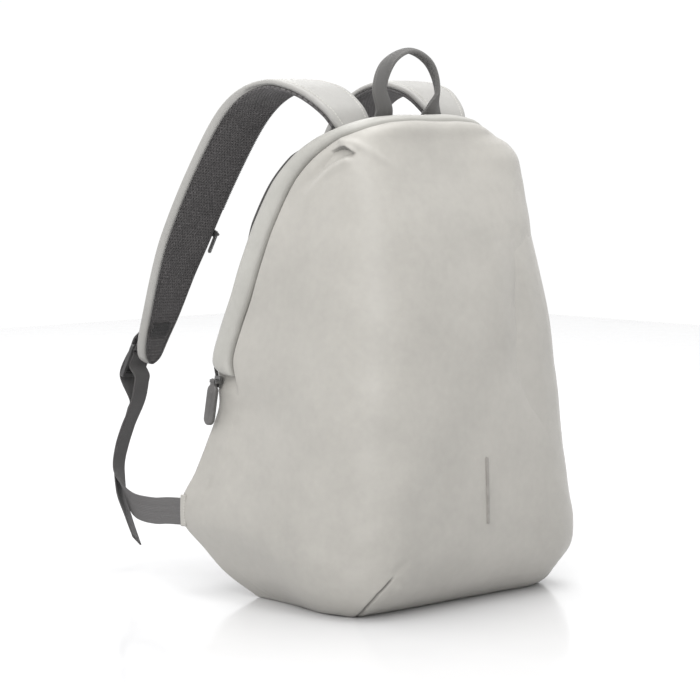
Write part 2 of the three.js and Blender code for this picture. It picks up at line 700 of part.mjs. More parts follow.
// The sewn loop that holds the buckle: from the strap's outer face round the buckle's top bar and back
function buckle_loop() {
  const frame = buckle_frame();
  const away = buckle.thickness / 2 + seam_gap + webbing.thickness / 2;
  const bend = turn_round(frame, buckle.bar + away * 0.4, away, 6, false);
  const frames = strap_frames();
  const sewn = frames.filter((one) => (
    one.share > buckle.place - buckle.sewn && one.share < buckle.place - 0.012));
  const lift = strap.thickness / 2 + 0.8 + seam_gap + webbing.thickness / 2;
  const lower = sewn.map((one) => one.at.clone().addScaledVector(one.over, lift));
  const upper = sewn.map((one) => one.at.clone().addScaledVector(
    one.over, lift + webbing.thickness + seam_gap)).reverse();
  const before = in_frame(frame, 0, -2, -away);
  const after = in_frame(frame, 0, -2, away);
  return ribbon([...lower, before, ...bend, after, ...upper], frame.across);
}

// A flat webbing band along points, with one direction for its width or one for each point
function ribbon(points, across) {
  const directions = Array.isArray(across) ? across : points.map(() => across);
  const frames = points.map((point, i) => {
    const next = points[Math.min(i + 1, points.length - 1)];
    const before = points[Math.max(i - 1, 0)];
    const along = next.clone().sub(before).normalize();
    const wide = directions[i].clone();
    wide.addScaledVector(along, -wide.dot(along)).normalize();
    return { at: point, along, across: wide, over: along.clone().cross(wide) };
  });
  return sweep(frames, () => flat_section(webbing.width, webbing.thickness));
}

function webbing_line(rows, count) {
  const curve = new THREE.CatmullRomCurve3(rows.map((row) => new THREE.Vector3(
    -row.out * half_width, row.back * strap.reach, row.up * bag.height)));
  const steps = rows.map((row, i) => ({ share: i / (rows.length - 1), spin: row.spin, stand: row.stand }));
  return frames_along(curve, count, (share) => {
    const spin = THREE.MathUtils.degToRad(follow(steps, 'share', 'spin', share));
    const stand = THREE.MathUtils.degToRad(follow(steps, 'share', 'stand', share));
    const level = Math.cos(stand);
    return new THREE.Vector3(-Math.cos(spin) * level, Math.sin(spin) * level, Math.sin(stand));
  });
}

// The strap webbing: from its free end up to the buckle, round the middle bar and down to the wing
function strap_webbing() {
  const frame = buckle_frame();
  const away = buckle.thickness / 2 + 1.5 * seam_gap + webbing.thickness / 2;
  const bend = turn_round(frame, buckle.bar + slot - away * 0.4, away, 6, true).reverse();
  const free = webbing_line(free_rows, 11).reverse();
  const loaded = webbing_line(loaded_rows, 16);
  const beyond = buckle.length + 3; // the free side lies along the whole buckle, the loaded side leaves it sooner
  const sooner = buckle.length * 0.7;
  const wrap = [in_frame(frame, 0, beyond, away), ...bend, in_frame(frame, 0, sooner, -away - seam_gap)];
  const points = [...free.map((one) => one.at), ...wrap, ...loaded.map((one) => one.at)];
  const directions = [...free.map((one) => one.across), ...wrap.map(() => frame.across),
    ...loaded.map((one) => one.across)];
  return ribbon(points, directions);
}

// The thin reflective strip that follows the front
function reflective_strip() {
  const place = (z, x, lift) => new THREE.Vector3(x, form_front(x, z) - lift, z);
  const steps = 8;
  const rings = Array.from({ length: steps + 1 }, (_, i) => {
    const z = strip.foot + (strip.length * i) / steps;
    const middle = strip.aside - (strip.slant * i) / steps;
    const left = middle - strip.width / 2;
    const right = middle + strip.width / 2;
    return [place(z, left, strip.stand), place(z, right, strip.stand),
      place(z, right, strip.stand + strip.thickness), place(z, left, strip.stand + strip.thickness)];
  });
  return loft(rings);
}

// Where the front lies at a place near its middle
function form_front(x, z) {
  let depth = 0.9;
  const up_of = (t) => {
    const crown = follow(profile_rows, 'up', 'crown', z / bag.height);
    const side = follow(profile_rows, 'up', 'side', z / bag.height);
    return (1 - t ** side) ** (1 / crown);
  };
  const edge = z < middle_height ? -base_tuck : bag.height;
  const wanted = Math.max(Math.abs((z - middle_height) / (edge - middle_height)), Math.abs(x) / half_width);
  let low = 0;
  let high = 1;
  for (let i = 0; i < 40; i += 1) {
    depth = (low + high) / 2;
    if (up_of(depth) > wanted) low = depth;
    else high = depth;
  }
  return back_at(z) + (front_at(z) - back_at(z)) * depth;
}

// A zip slider with a cross bar, in its own frame: x across the zip, y along it, z away from the cloth
function zip_slider(zip) {
  const eye = zip.bar + 2 * (zip.clearance + zip.eye_wall);
  const ear_inner = eye / 2 + zip.clearance;
  const stand = stand_of(zip);
  const block = new THREE.BoxGeometry(zip.body, zip.length, zip.depth);
  block.translate(0, 0, zip.depth / 2);
  const bar = new THREE.CylinderGeometry(zip.bar / 2, zip.bar / 2, 2 * (ear_inner + zip.ear * 0.5), 12);
  bar.rotateZ(Math.PI / 2);
  bar.translate(0, 0, stand);
  let whole = solid(block).add(solid(bar));
  for (const way of [-1, 1]) {
    const ear = new THREE.BoxGeometry(zip.ear, zip.bar * 1.8, stand + zip.bar * 0.9 - zip.depth * 0.5);
    ear.translate(way * (ear_inner + zip.ear / 2), 0, (stand + zip.bar * 0.9 + zip.depth * 0.5) / 2);
    whole = whole.add(solid(ear));
  }
  return geometry_of(whole);
}

function stand_of(zip) {
  return zip.depth + zip.tab_thickness / 2 + 2 * zip.clearance;
}

// A zip pull that hangs from the bar: an eye, a neck and a long tab with round ends and a raised rib
function zip_pull(zip) {
  const eye_outer = zip.bar / 2 + zip.clearance + zip.eye_wall;
  const eye_width = 2 * eye_outer;
  const neck = Math.hypot(zip.bar * 0.9, zip.bar * 0.9) + zip.clearance;
  const tab = tab_plate(zip.tab_width, neck, zip.tab_length, zip.tab_thickness);
  const ring = new THREE.CylinderGeometry(eye_outer, eye_outer, eye_width, 12);
  ring.rotateZ(Math.PI / 2);
  const link_length = neck + zip.tab_width * 0.4;
  const link = new THREE.BoxGeometry(eye_width, link_length, Math.min(zip.tab_thickness, eye_outer * 1.6));
  link.translate(0, -link_length / 2, 0);
  const bore_radius = zip.bar / 2 + zip.clearance;
  const bore = new THREE.CylinderGeometry(bore_radius, bore_radius, 2 * eye_width, 12);
  bore.rotateZ(Math.PI / 2);
  let whole = solid(tab).add(solid(ring)).add(solid(link)).subtract(solid(bore));
  if (zip.rib > 0) {
    const rib = tab_plate(zip.rib, neck + zip.tab_width * 0.5, zip.tab_length - zip.tab_width * 0.35,
      zip.tab_thickness + 1.2);
    whole = whole.add(solid(rib));
  }
  return geometry_of(whole);
}

function tab_plate(width, top, length, thickness) {
  const round = width / 2;
  const shape = new THREE.Shape();
  shape.absarc(0, -top - round, round, 0, Math.PI, false);
  shape.absarc(0, -length + round, round, Math.PI, 2 * Math.PI, false);
  const bevel = thickness * 0.18;
  const plate = new THREE.ExtrudeGeometry(shape, {
    depth: thickness - 2 * bevel, bevelThickness: bevel, bevelSize: bevel, bevelOffset: -bevel,
    bevelSegments: 1, curveSegments: 6,
  });
  plate.translate(0, 0, -thickness / 2 + bevel);
  return closed(plate);
}

// Where the main zip's slider sits: on the rim of the left side, below the band's lower end
function main_zip_place() {
  const share = share_at_height(main_zip.height);
  const here = outline_point(share, 0);
  const upper = outline_point(share_at_height(main_zip.height + main_zip.line), 0);
  const rim = new THREE.Vector3(-here.x, back_at(here.z) - main_zip.body / 2, here.z);
  const above = new THREE.Vector3(-upper.x, back_at(upper.z) - main_zip.body / 2, upper.z);
  const up = above.sub(rim).normalize();
  const out = new THREE.Vector3(-1, 0, 0);
  out.addScaledVector(up, -out.dot(up)).normalize();
  return { at: rim.addScaledVector(out, -main_zip.sunk), up, out };
}

// Where the strap zip's slider sits: on the hem of the left strap that faces the bag's middle
function strap_zip_place() {
  const frame = strap_frames().find((one) => one.share > strap_zip.place);
  const out = frame.across.clone().negate();
  const up = frame.along.clone().negate();
  const at = frame.at.clone().addScaledVector(out, strap_width_at(frame.share) / 2 + seam_gap);
  return { at: at.addScaledVector(frame.over, strap_zip.lift), up, out };
}

function set_in_place(mesh, place, lift) {
  const across = place.up.clone().cross(place.out);
  mesh.setRotationFromMatrix(new THREE.Matrix4().makeBasis(across, place.up, place.out));
  mesh.position.copy(place.at).addScaledVector(place.out, lift);
  return mesh;
}

// Materials

const finish = {
  shell_cloth: new THREE.MeshStandardMaterial({ color: 0xc5c2bb, roughness: 0.75 }),
  band_cloth: new THREE.MeshStandardMaterial({ color: 0xcdcdc8, roughness: 0.75 }),
  cover_cloth: new THREE.MeshStandardMaterial({ color: 0xd4d3ce, roughness: 0.75 }),
  mesh_cloth: new THREE.MeshStandardMaterial({ color: 0x4b4949, roughness: 0.95 }),
  webbing_cloth: new THREE.MeshStandardMaterial({ color: 0x5c5b5a, roughness: 0.85 }),
  hard_plastic: new THREE.MeshStandardMaterial({ color: 0x3c3b3b, roughness: 0.5 }),
  pull_rubber: new THREE.MeshStandardMaterial({ color: 0x5a5958, roughness: 0.6 }),
  dark_metal: new THREE.MeshStandardMaterial({ color: 0x4a4a4a, roughness: 0.4, metalness: 0.8 }),
  reflective_film: new THREE.MeshStandardMaterial({ color: 0x82807a, roughness: 0.4 }),
};

// Assembly

const pieces = new THREE.Group();

function add(name, geometry, material) {
  const mesh = new THREE.Mesh(geometry, material);
  mesh.name = name;
  pieces.add(mesh);
  return mesh;
}

function add_pair(name, geometry, material) {
  add(`${name}_left`, geometry, material);
  add(`${name}_right`, mirrored(geometry), material);
}

const shell_geometry = shell();
add('shell', shell_geometry, finish.shell_cloth);
add('zip_band', zip_band(), finish.band_cloth);
add('back_panel', back_panel(shell_geometry), finish.mesh_cloth);
add('handle', carry_handle(), finish.webbing_cloth);
add_pair('strap_cover', strap_cover(), finish.cover_cloth);
add_pair('strap_pad', strap_pad(), finish.mesh_cloth);
add_pair('ladder_buckle', ladder_buckle(), finish.hard_plastic);
add_pair('buckle_loop', buckle_loop(), finish.webbing_cloth);
add_pair('webbing', strap_webbing(), finish.webbing_cloth);
add('strap_patch', strap_patch(), finish.mesh_cloth);
add('reflective_strip', reflective_strip(), finish.reflective_film);

const main_place = main_zip_place();
set_in_place(add('main_zip_slider', zip_slider(main_zip), finish.dark_metal), main_place, 0);
set_in_place(add('main_zip_pull', zip_pull(main_zip), finish.pull_rubber), main_place, stand_of(main_zip));
const strap_place = strap_zip_place();
set_in_place(add('strap_zip_slider', zip_slider(strap_zip), finish.dark_metal), strap_place, 0);
set_in_place(add('strap_zip_pull', zip_pull(strap_zip), finish.dark_metal), strap_place, stand_of(strap_zip));

// The origin is at the middle of the foot of the whole backpack
const extent = new THREE.Box3().setFromObject(pieces, true);
pieces.position.set(-(extent.min.x + extent.max.x) / 2, -(extent.min.y + extent.max.y) / 2, -extent.min.z);

const backpack = new THREE.Group();
backpack.add(pieces);
backpack.updateMatrixWorld(true);

export default backpack;
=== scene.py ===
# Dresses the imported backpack: fine cloth forms over the solids, woven and moulded finishes, camera and light.
# Lengths are in millimetres until a mesh is made. x and z are the frame's. y is counted from the plane that
# the front and back reach start from, and SHIFT_Y brings it into the frame.
import math

import bmesh
import bpy
import numpy as np
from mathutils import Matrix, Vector


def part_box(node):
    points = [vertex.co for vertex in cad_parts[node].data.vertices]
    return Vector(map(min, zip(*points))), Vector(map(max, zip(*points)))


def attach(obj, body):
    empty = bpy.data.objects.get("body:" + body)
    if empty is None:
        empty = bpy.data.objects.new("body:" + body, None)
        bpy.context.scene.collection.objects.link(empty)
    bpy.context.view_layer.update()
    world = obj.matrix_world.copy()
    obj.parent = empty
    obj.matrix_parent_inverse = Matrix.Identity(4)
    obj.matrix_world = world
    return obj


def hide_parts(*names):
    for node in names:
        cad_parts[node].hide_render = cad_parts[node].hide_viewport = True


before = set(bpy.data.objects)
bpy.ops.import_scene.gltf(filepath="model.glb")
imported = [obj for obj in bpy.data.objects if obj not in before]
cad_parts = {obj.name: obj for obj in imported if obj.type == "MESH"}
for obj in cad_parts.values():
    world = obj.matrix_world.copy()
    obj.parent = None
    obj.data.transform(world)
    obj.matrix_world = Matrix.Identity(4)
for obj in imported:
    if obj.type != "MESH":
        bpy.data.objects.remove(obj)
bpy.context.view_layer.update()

# Sizes of the bag, as in its solids
WIDTH, HEIGHT, FRONT_REACH, BACK_REACH, WALL = 312.0, 432.0, 102.0, 138.0, 3.0
RIM_LIP, MOUTH_FOOT = 9.0, 62.0
SEAM_GAP = 0.3
# How far the outline would pass below the floor if the base were not flat
BASE_TUCK = 7.0
BAND = dict(width=25.0, seat=6.0, puff=9.5, edge=2.4, foot=201.0)
PANEL = dict(thickness=7.0, edge=4.0, inset=5.0, foot=52.0, gap=0.8)
HANDLE = dict(spread=60.0, rise=62.0, width=21.0, thickness=2.4, sunk=9.5, lean=8.7)
STRAP = dict(width=60.0, thickness=10.0, skin=1.6, hem_cover=7.4, reach=257.0)
WEB = dict(width=25.0, thickness=1.6)
PATCH = dict(width=24.0, thickness=1.2, aside=2.0, start=0.866, end=0.9)
BUCKLE = dict(length=34.0, thickness=3.4, bar=4.2, lean=8.0, place=0.93, stand=6.0, sewn=0.08)
STRIP = dict(width=3.0, length=59.0, foot=75.0, aside=-1.0, slant=3.0)
HALF = WIDTH / 2
# Pieces are made on the left side, and mirrored for the right
SIDES = ((1, "left"), (-1, "right"))
# The height towards which every row of the form shrinks
MIDDLE_Z = HEIGHT * 0.44

# Outline seen from the front: half width at the open back, half width at the front, height, as shares
OUTLINE = np.array([
    (0, 0, -0.016), (0.35, 0.38, -0.016), (0.62, 0.68, -0.015), (0.745, 0.83, -0.006), (0.8, 0.9, 0.014),
    (0.872, 0.96, 0.049), (0.93, 0.985, 0.097), (0.978, 0.985, 0.132), (1, 0.98, 0.155), (1, 0.975, 0.194),
    (0.958, 0.96, 0.257), (0.918, 0.94, 0.322), (0.876, 0.915, 0.394), (0.89, 0.885, 0.475),
    (0.851, 0.85, 0.583), (0.805, 0.8, 0.694), (0.75, 0.75, 0.796), (0.699, 0.699, 0.88),
    (0.65, 0.65, 0.931), (0.57, 0.57, 0.97), (0.43, 0.43, 0.992), (0.22, 0.22, 1), (0, 0, 1)])
# The row of the outline above which its height only grows
WIDEST_ROW = 9
# Side profile: height, back, front, how square towards the front and along the side
PROFILE = np.array([
    (0, 0.53, 0.97, 5, 6.5), (0.05, 0.73, 1.02, 5, 6.5), (0.1, 0.87, 1.03, 5, 6.5),
    (0.15, 0.985, 1.02, 4.8, 6.5), (0.195, 1, 1.01, 4.6, 6.5), (0.26, 0.915, 1, 4.4, 6.5),
    (0.36, 0.815, 0.99, 4.2, 6.4),
    (0.42, 0.772, 0.985, 4.2, 6.4), (0.46, 0.802, 0.98, 4.2, 6.4), (0.5, 0.832, 0.975, 4.2, 6.2),
    (0.56, 0.792, 0.96, 4.2, 6.2), (0.64, 0.712, 0.91, 4.2, 6.2), (0.71, 0.655, 0.85, 4.2, 6),
    (0.78, 0.587, 0.78, 4.2, 6), (0.86, 0.478, 0.68, 4.4, 6), (0.91, 0.362, 0.63, 4.4, 5.8),
    (0.955, 0.2, 0.61, 4.2, 5.6), (0.985, 0.02, 0.61, 4.2, 5.5), (1, -0.04, 0.62, 4.2, 5.5)])
# Middle line of the left strap: out, back, up as shares, and the lean of its width in degrees
STRAP_ROWS = np.array([
    (0.378, 0.044, 0.98, 0), (0.405, 0.084, 1.017, 0), (0.43, 0.16, 1.05, 0), (0.446, 0.24, 1.066, 0),
    (0.45, 0.325, 1.072, 1), (0.458, 0.43, 1.06, 2), (0.466, 0.525, 1.03, 2), (0.478, 0.61, 0.978, 1),
    (0.505, 0.717, 0.88, 0), (0.538, 0.805, 0.78, -2), (0.57, 0.882, 0.677, -6), (0.6, 0.942, 0.575, -10),
    (0.62, 0.982, 0.51, -12), (0.635, 1, 0.462, -12)])
# Steps that take the strap's top down behind the band: back and up from its first point
ROOT_STEPS = np.array([(0, 7.0, -22.0), (0, 3.5, -14.5), (0, 1.0, -7.0), (0, 0, 0)])
# The strap's width along its length, as shares of both
TAPER = np.array([
    (0, 0.68), (0.06, 0.79), (0.12, 0.9), (0.2, 1), (0.72, 1), (0.79, 0.9), (0.86, 0.77), (0.91, 0.66),
    (0.95, 0.55), (0.975, 0.45), (0.99, 0.31), (1, 0.12)])
# Webbing below the adjuster: out, back, up as shares, spin and stand of its width in degrees
LOADED_ROWS = np.array([
    (0.635, 1.035, 0.43, -18, 0), (0.65, 1.05, 0.375, -19, 0), (0.668, 1.1, 0.315, -20, 0),
    (0.682, 1.13, 0.265, -22, 0), (0.695, 1.136, 0.215, -28, 4), (0.72, 1.08, 0.168, -50, 24),
    (0.765, 0.985, 0.147, -66, 42), (0.84, 0.82, 0.15, -76, 49), (0.905, 0.68, 0.162, -76, 49),
    (0.972, 0.536, 0.172, -76, 56)])
FREE_ROWS = np.array([
    (0.632, 1.074, 0.375, -22, 0), (0.634, 1.12, 0.315, -24, 0), (0.646, 1.15, 0.265, -26, 0),
    (0.664, 1.16, 0.215, -32, 0), (0.69, 1.132, 0.165, -40, 0), (0.72, 1.062, 0.115, -44, 0),
    (0.74, 0.995, 0.066, -46, 0)])
# The handle's twist in degrees and how far it is folded, along its length
TWIST = np.array([
    (0, 6, 0), (0.07, 9, 0.15), (0.18, 20, 0.75), (0.3, 34, 0.95), (0.46, 84, 1), (0.6, 98, 1),
    (0.72, 120, 1), (0.78, 136, 0.9), (0.86, 180, 0.4), (0.92, 206, 0), (1, 212, 0)])


# Curves

def monotone(ats, values):
    """A smooth curve through values that never overshoots them."""
    slopes = np.diff(values) / np.diff(ats)
    steer = np.empty(len(ats))
    steer[0], steer[-1] = slopes[0], slopes[-1]
    before, after = slopes[:-1], slopes[1:]
    total = np.where(before * after > 0, before + after, 1.0)
    steer[1:-1] = np.where(before * after > 0, 2 * before * after / total, 0.0)

    def value(at):
        at = np.clip(np.asarray(at, dtype=float), ats[0], ats[-1])
        i = np.clip(np.searchsorted(ats, at, side="right") - 1, 0, len(ats) - 2)
        gap = ats[i + 1] - ats[i]
        t = (at - ats[i]) / gap
        return ((2 * t**3 - 3 * t**2 + 1) * values[i] + (t**3 - 2 * t**2 + t) * gap * steer[i]
                + (3 * t**2 - 2 * t**3) * values[i + 1] + (t**3 - t**2) * gap * steer[i + 1])
    return value


def ease(low, high, at):
    """A soft step from 0 at low to 1 at high."""
    t = np.clip((at - low) / (high - low), 0, 1)
    return t * t * (3 - 2 * t)


def hill(distance, reach):
    return np.exp(-((distance / reach) ** 2))


def catmull(points, shares, centripetal=False):
    """Places at shares along a smooth curve through points."""
    points = np.asarray(points, dtype=float)
    wide = np.vstack([2 * points[0] - points[1], points, 2 * points[-1] - points[-2]])
    at = np.clip(shares, 0, 1) * (len(points) - 1)
    i = np.minimum(at.astype(int), len(points) - 2)
    t = (at - i)[:, None]
    p0, p1, p2, p3 = wide[i], wide[i + 1], wide[i + 2], wide[i + 3]
    if centripetal:
        d0, d1, d2 = (np.sqrt(np.maximum(np.linalg.norm(b - a, axis=1), 1e-9))[:, None]
                      for a, b in ((p0, p1), (p1, p2), (p2, p3)))
        t1 = ((p1 - p0) / d0 - (p2 - p0) / (d0 + d1) + (p2 - p1) / d1) * d1
        t2 = ((p2 - p1) / d1 - (p3 - p1) / (d1 + d2) + (p3 - p2) / d2) * d1
    else:
        t1, t2 = (p2 - p0) / 2, (p3 - p1) / 2
    return ((2 * t**3 - 3 * t**2 + 1) * p1 + (t**3 - 2 * t**2 + t) * t1
            + (3 * t**2 - 2 * t**3) * p2 + (t**3 - t**2) * t2)


def way_along(points):
    """The length of the line up to each of its points."""
    return np.concatenate([[0], np.cumsum(np.linalg.norm(np.diff(points, axis=0), axis=1))])


def resample(points, count, turn_length, boost=None):
    """Shares along a line, closer together where it bends and where boost says so."""
    step = np.diff(points, axis=0)
    length = np.linalg.norm(step, axis=1)
    unit = step / np.maximum(length, 1e-9)[:, None]
    turn = np.arccos(np.clip((unit[1:] * unit[:-1]).sum(1), -1, 1))
    weight = length.copy()
    weight[1:] += 0.5 * turn_length * turn
    weight[:-1] += 0.5 * turn_length * turn
    if boost is not None:
        weight *= boost((points[1:] + points[:-1]) / 2)
    sums = np.concatenate([[0], np.cumsum(weight)])
    return np.interp(np.linspace(0, sums[-1], count + 1), sums, np.linspace(0, 1, len(points)))


# The bag's form

back_share, front_share, crown_of, side_of = (monotone(PROFILE[:, 0], PROFILE[:, k]) for k in (1, 2, 3, 4))
strap_taper = monotone(TAPER[:, 0], TAPER[:, 1])
KNOTS = OUTLINE * [HALF, HALF, HEIGHT]
FINE_SHARES = np.linspace(0, 1, 2001)
FINE_OUTLINE = catmull(KNOTS, FINE_SHARES, True)
# Length that a turn of one radian counts as, where points are spread along the outline
OUTLINE_TURN = 45


def back_at(z):
    return BACK_REACH * back_share(z / HEIGHT)


def front_at(z):
    return -FRONT_REACH * front_share(z / HEIGHT)


def outline(shares, inset):
    """Places on the outline, moved inwards: half width at the back, half width at the front, height."""
    here = catmull(KNOTS, shares, True)
    along = (catmull(KNOTS, np.clip(shares + 1e-4, 0, 1), True)
             - catmull(KNOTS, np.clip(shares - 1e-4, 0, 1), True))
    along[:, 1] = 0
    along /= np.linalg.norm(along, axis=1)[:, None]
    return np.column_stack([np.maximum(0, here[:, 0] - along[:, 2] * inset),
                            np.maximum(0, here[:, 1] - along[:, 2] * inset),
                            here[:, 2] + along[:, 0] * inset])


def share_at_height(z):
    upper = FINE_SHARES > WIDEST_ROW / (len(OUTLINE) - 1)
    return float(np.interp(z, FINE_OUTLINE[upper, 2], FINE_SHARES[upper]))


def both_sides(shares, inset):
    left = outline(shares, inset) * [-1, -1, 1]
    right = left[1:-1][::-1] * [-1, -1, 1]
    return np.vstack([left, right])


def form_point(station, depth, inset):
    """Where the form lies at a share of the depth from its open back to its front."""
    up = station[:, 2] / HEIGHT
    shrink = np.maximum(0, 1 - depth ** side_of(up)) ** (1 / crown_of(up))
    x = (station[:, 0] + (station[:, 1] - station[:, 0]) * ease(0.15, 0.75, depth)) * shrink
    z = np.maximum(inset, MIDDLE_Z + (station[:, 2] - MIDDLE_Z) * shrink)
    back = back_at(z) - inset
    front = front_at(z) + inset
    return np.column_stack([x, back + (front - back) * depth, z])


def depth_from_rim(z, from_rim):
    return from_rim / (back_at(z) - front_at(z))


def grid_normals(grid):
    """Outward directions of a grid of rings that run round the bag."""
    around = np.roll(grid, -1, 1) - np.roll(grid, 1, 1)
    normals = np.cross(np.gradient(grid, axis=0), around)
    normals /= np.maximum(np.linalg.norm(normals, axis=2), 1e-9)[:, :, None]
    ring = len(grid) // 4
    return normals * np.sign(((grid[ring] - [0, 0, MIDDLE_Z]) * normals[ring]).sum())


def ripple(points, size, seed):
    """Soft repeatable waves of about the given size, from -1 to 1."""
    rng = np.random.default_rng(seed)
    total = np.zeros(points.shape[:-1])
    count = 7
    for _ in range(count):
        direction = rng.normal(size=3)
        direction *= 2 * math.pi / (size * rng.uniform(0.7, 1.5) * np.linalg.norm(direction))
        total += np.sin(points @ direction + rng.uniform(0, 2 * math.pi))
    return total / count * 1.6


def near_line(points, line):
    """Distance to a line of points, the place along it from 0 to 1, and the nearest point."""
    line = np.asarray(line, dtype=float)
    starts = way_along(line)
    best = np.full(points.shape[:-1], 1e9)
    place = np.zeros(points.shape[:-1])
    nearest = np.zeros(points.shape)
    for i, length in enumerate(np.diff(starts)):
        way = (line[i + 1] - line[i]) / length
        t = np.clip((points - line[i]) @ way, 0, length)
        spot = line[i] + t[..., None] * way
        distance = np.linalg.norm(points - spot, axis=-1)
        closer = distance < best
        best = np.where(closer, distance, best)
        place = np.where(closer, (starts[i] + t) / starts[-1], place)
        nearest = np.where(closer[..., None], spot, nearest)
    return best, place, nearest


# Folds of the shell, as lines of places on the left side of the form

SLIT = [(-99.6, -6, 404.9), (-98.2, -12, 407.2), (-97, -18.5, 407), (-96.2, -26, 403.6)]
RIDGE = [(-95, -10, 413.5), (-92.6, -22, 411.6), (-90.2, -32, 407.6), (-85.3, -39.6, 402.6),
         (-77.2, -46.1, 395.8), (-66, -51, 388)]
VALLEY = [(-99.6, -12, 403), (-103.8, -2.9, 395.8), (-107.8, 8.8, 384.1), (-111, 20, 372)]
LIGHT_RIDGE = [(-101.2, -24, 396), (-104.6, -12, 390), (-108, 0, 382), (-112, 12, 368)]
DART = [(-108.3, -92, 39.3), (-110.9, -90.1, 35.6), (-115.3, -86.2, 29.5), (-119.1, -81.8, 24.2),
        (-121.6, -75.1, 16.3), (-122.1, -69.7, 11.3), (-120.4, -61.4, 4.9), (-117.5, -53.4, 0.6)]
# The slit opens along this direction: its upper lip stands out and its lower one lies in
UP_SLOPE = np.array([0.655, 0.0, 0.755])
# The last reach is how far the painted shade of the slit's dark line spreads across it
LIPS = dict(above=4.2, above_reach=5.5, below=-5.0, below_reach=6.0, end_reach=2.4, shade_line_reach=1.1)
# Line, how far it reaches, how far it stands out or in, and how much of that is gone at its end
FOLDS = ((RIDGE, 4.0, 2.7, 0.92), (VALLEY, 5.4, -4.6, 0.7), (LIGHT_RIDGE, 4.2, 2.4, 0.7))
# Small creases: start, end, how far they reach, and how far they stand out or in
CREASES = (
    ((-137.2, 108, 165.3), (-138.6, 86.3, 157.8), 2.6, -2.0),
    ((-136.6, 100, 176.5), (-136.7, 82, 169), 3.0, 1.3),
    ((-137, 104, 170.5), (-137.6, 90, 164), 2.0, 0.9), ((-138, 88, 157), (-143, 50, 128), 8.0, -1.3),
    ((-108, -92.5, 42), (-97, -95, 52), 4.5, -1.4), ((-104, -92, 33), (-90, -93, 27), 3.5, -1.3),
    ((-131, -60, 60), (-120, -84, 44), 9.0, -1.3), ((121, -78, 26), (113, -66, 6), 2.2, -2.2),
    ((-153, 120, 118), (-146, 96, 92), 9.0, -1.4), ((150, 118, 112), (143, 92, 90), 9.0, -1.4),
    ((136, 104, 168), (138, 84, 158), 3.0, -1.6), ((-60, -97, 120), (-92, -92, 92), 12.0, -1.1),
    ((-92, -93, 128), (-120, -80, 96), 12.0, 1.0))
# Bulges and hollows of the cloth: middle, size and height
BULGES = (
    ((-98, -91.5, 29), 8, 1.6), ((131, 112, 150), 14, 1.2), ((-131, 112, 150), 14, 1.2),
    ((-130, -84, 56), 20, -1.4), ((-122, -30, 20), 22, -1.2), ((60, -95, 20), 16, 0.8),
    ((-118, -60, 300), 34, -1.2), ((123, -74, 17), 15, -6.5), ((76, -24, 424), 20, -3.5),
    ((-20, -99, 150), 60, 1.4), ((50, -95, 250), 55, -1.5), ((-60, -85, 330), 45, 1.3))
# Soft unevenness all over: height, size and seed
SAGS = ((1.3, 140, 3), (0.45, 55, 8), (0.12, 18, 14))
# How the right front edge leans in and out, by height, and the direction that this edge faces
RIGHT_EDGE = np.array([
    (0, 0), (60, 0), (104, -2.2), (140, -4), (162, -5), (184, -7.6), (206, -11.4), (229, -14), (251, -16.2),
    (273, -16.2), (295, -12.6), (318, -6.4), (340, -2.6), (360, 0.4), (378, 4.4), (396, 8.4), (408, 6),
    (420, 0), (432, 0)])
RIGHT_EDGE_FACES = np.array([0.67, -0.74, 0.0])
right_lean = monotone(RIGHT_EDGE[:, 0], RIGHT_EDGE[:, 1])
# How the shell sinks below the band: under its foot by height, and at its edge by distance from the rim
SEAT_FOOT, SEAT_EDGE = (-16, -3), (-1.5, 4.5)


def bump_at(points, centre, size, height):
    return height * hill(np.linalg.norm(points - centre, axis=-1), size)


def slit_lift(points):
    """The corner slit's two lips, and painted shade for the dark line between them."""
    distance, place, nearest = near_line(points, SLIT)
    across = (points - nearest) @ UP_SLOPE
    beyond = np.sqrt(np.maximum(0, distance**2 - across**2))
    body = hill(beyond, LIPS["end_reach"]) * np.sin(np.pi * np.clip(0.10 + 0.80 * place, 0, 1)) ** 0.7
    lips = np.where(across > 0, LIPS["above"] * hill(across, LIPS["above_reach"]),
                    LIPS["below"] * hill(across, LIPS["below_reach"]))
    # The second value is painted shade: it darkens the slit's line where the upper lip's shadow falls
    return body * lips, 1.3 * body * hill(across + 0.3, LIPS["shade_line_reach"])


def dart_lift(points):
    """The bottom dart: a sewn groove along the top of a soft roll, and painted shade in the groove."""
    distance, place, _ = near_line(points, DART)
    groove = hill(distance, 1.1) * ease(0, 0.12, place)
    # The second value is painted shade along the bottom of the groove
    return 1.6 * hill(distance, 9.0) * ease(0, 0.3, place) - 2.6 * groove, 1.1 * groove


def fold_lift(points, normals):
    """How far the cloth stands out or in at its folds, and how much painted shade its slit, dart and valley
    get.
    """
    lift, painted_shade = (slit + dart for slit, dart in zip(slit_lift(points), dart_lift(points)))
    # Painted shade in the valley below the slit, fading along it
    distance, place, _ = near_line(points, VALLEY)
    painted_shade += 0.16 * hill(distance, 5.0) * (1 - place)
    for line, reach, height, fade in FOLDS:
        distance, place, _ = near_line(points, line)
        lift += height * hill(distance, reach) * (1 - fade * place)
    for start, end, reach, height in CREASES:
        distance, place, _ = near_line(points, [start, end])
        lift += height * hill(distance, reach) * np.sin(np.pi * np.clip(0.2 + 0.6 * place, 0, 1))
    for bulge in BULGES:
        lift += bump_at(points, *bulge)
    facing = np.clip(normals @ RIGHT_EDGE_FACES, 0, 1)
    lift += right_lean(points[..., 2]) * facing * ease(20, 80, points[..., 0])
    return lift, np.clip(painted_shade, 0, 1)


def seat(z, from_rim):
    """How far the shell lies below the form under the band."""
    along = ease(*(BAND["foot"] + gap for gap in SEAT_FOOT), z)
    return BAND["seat"] * along * (1 - ease(*(BAND["width"] + gap for gap in SEAT_EDGE), from_rim))


# Making meshes

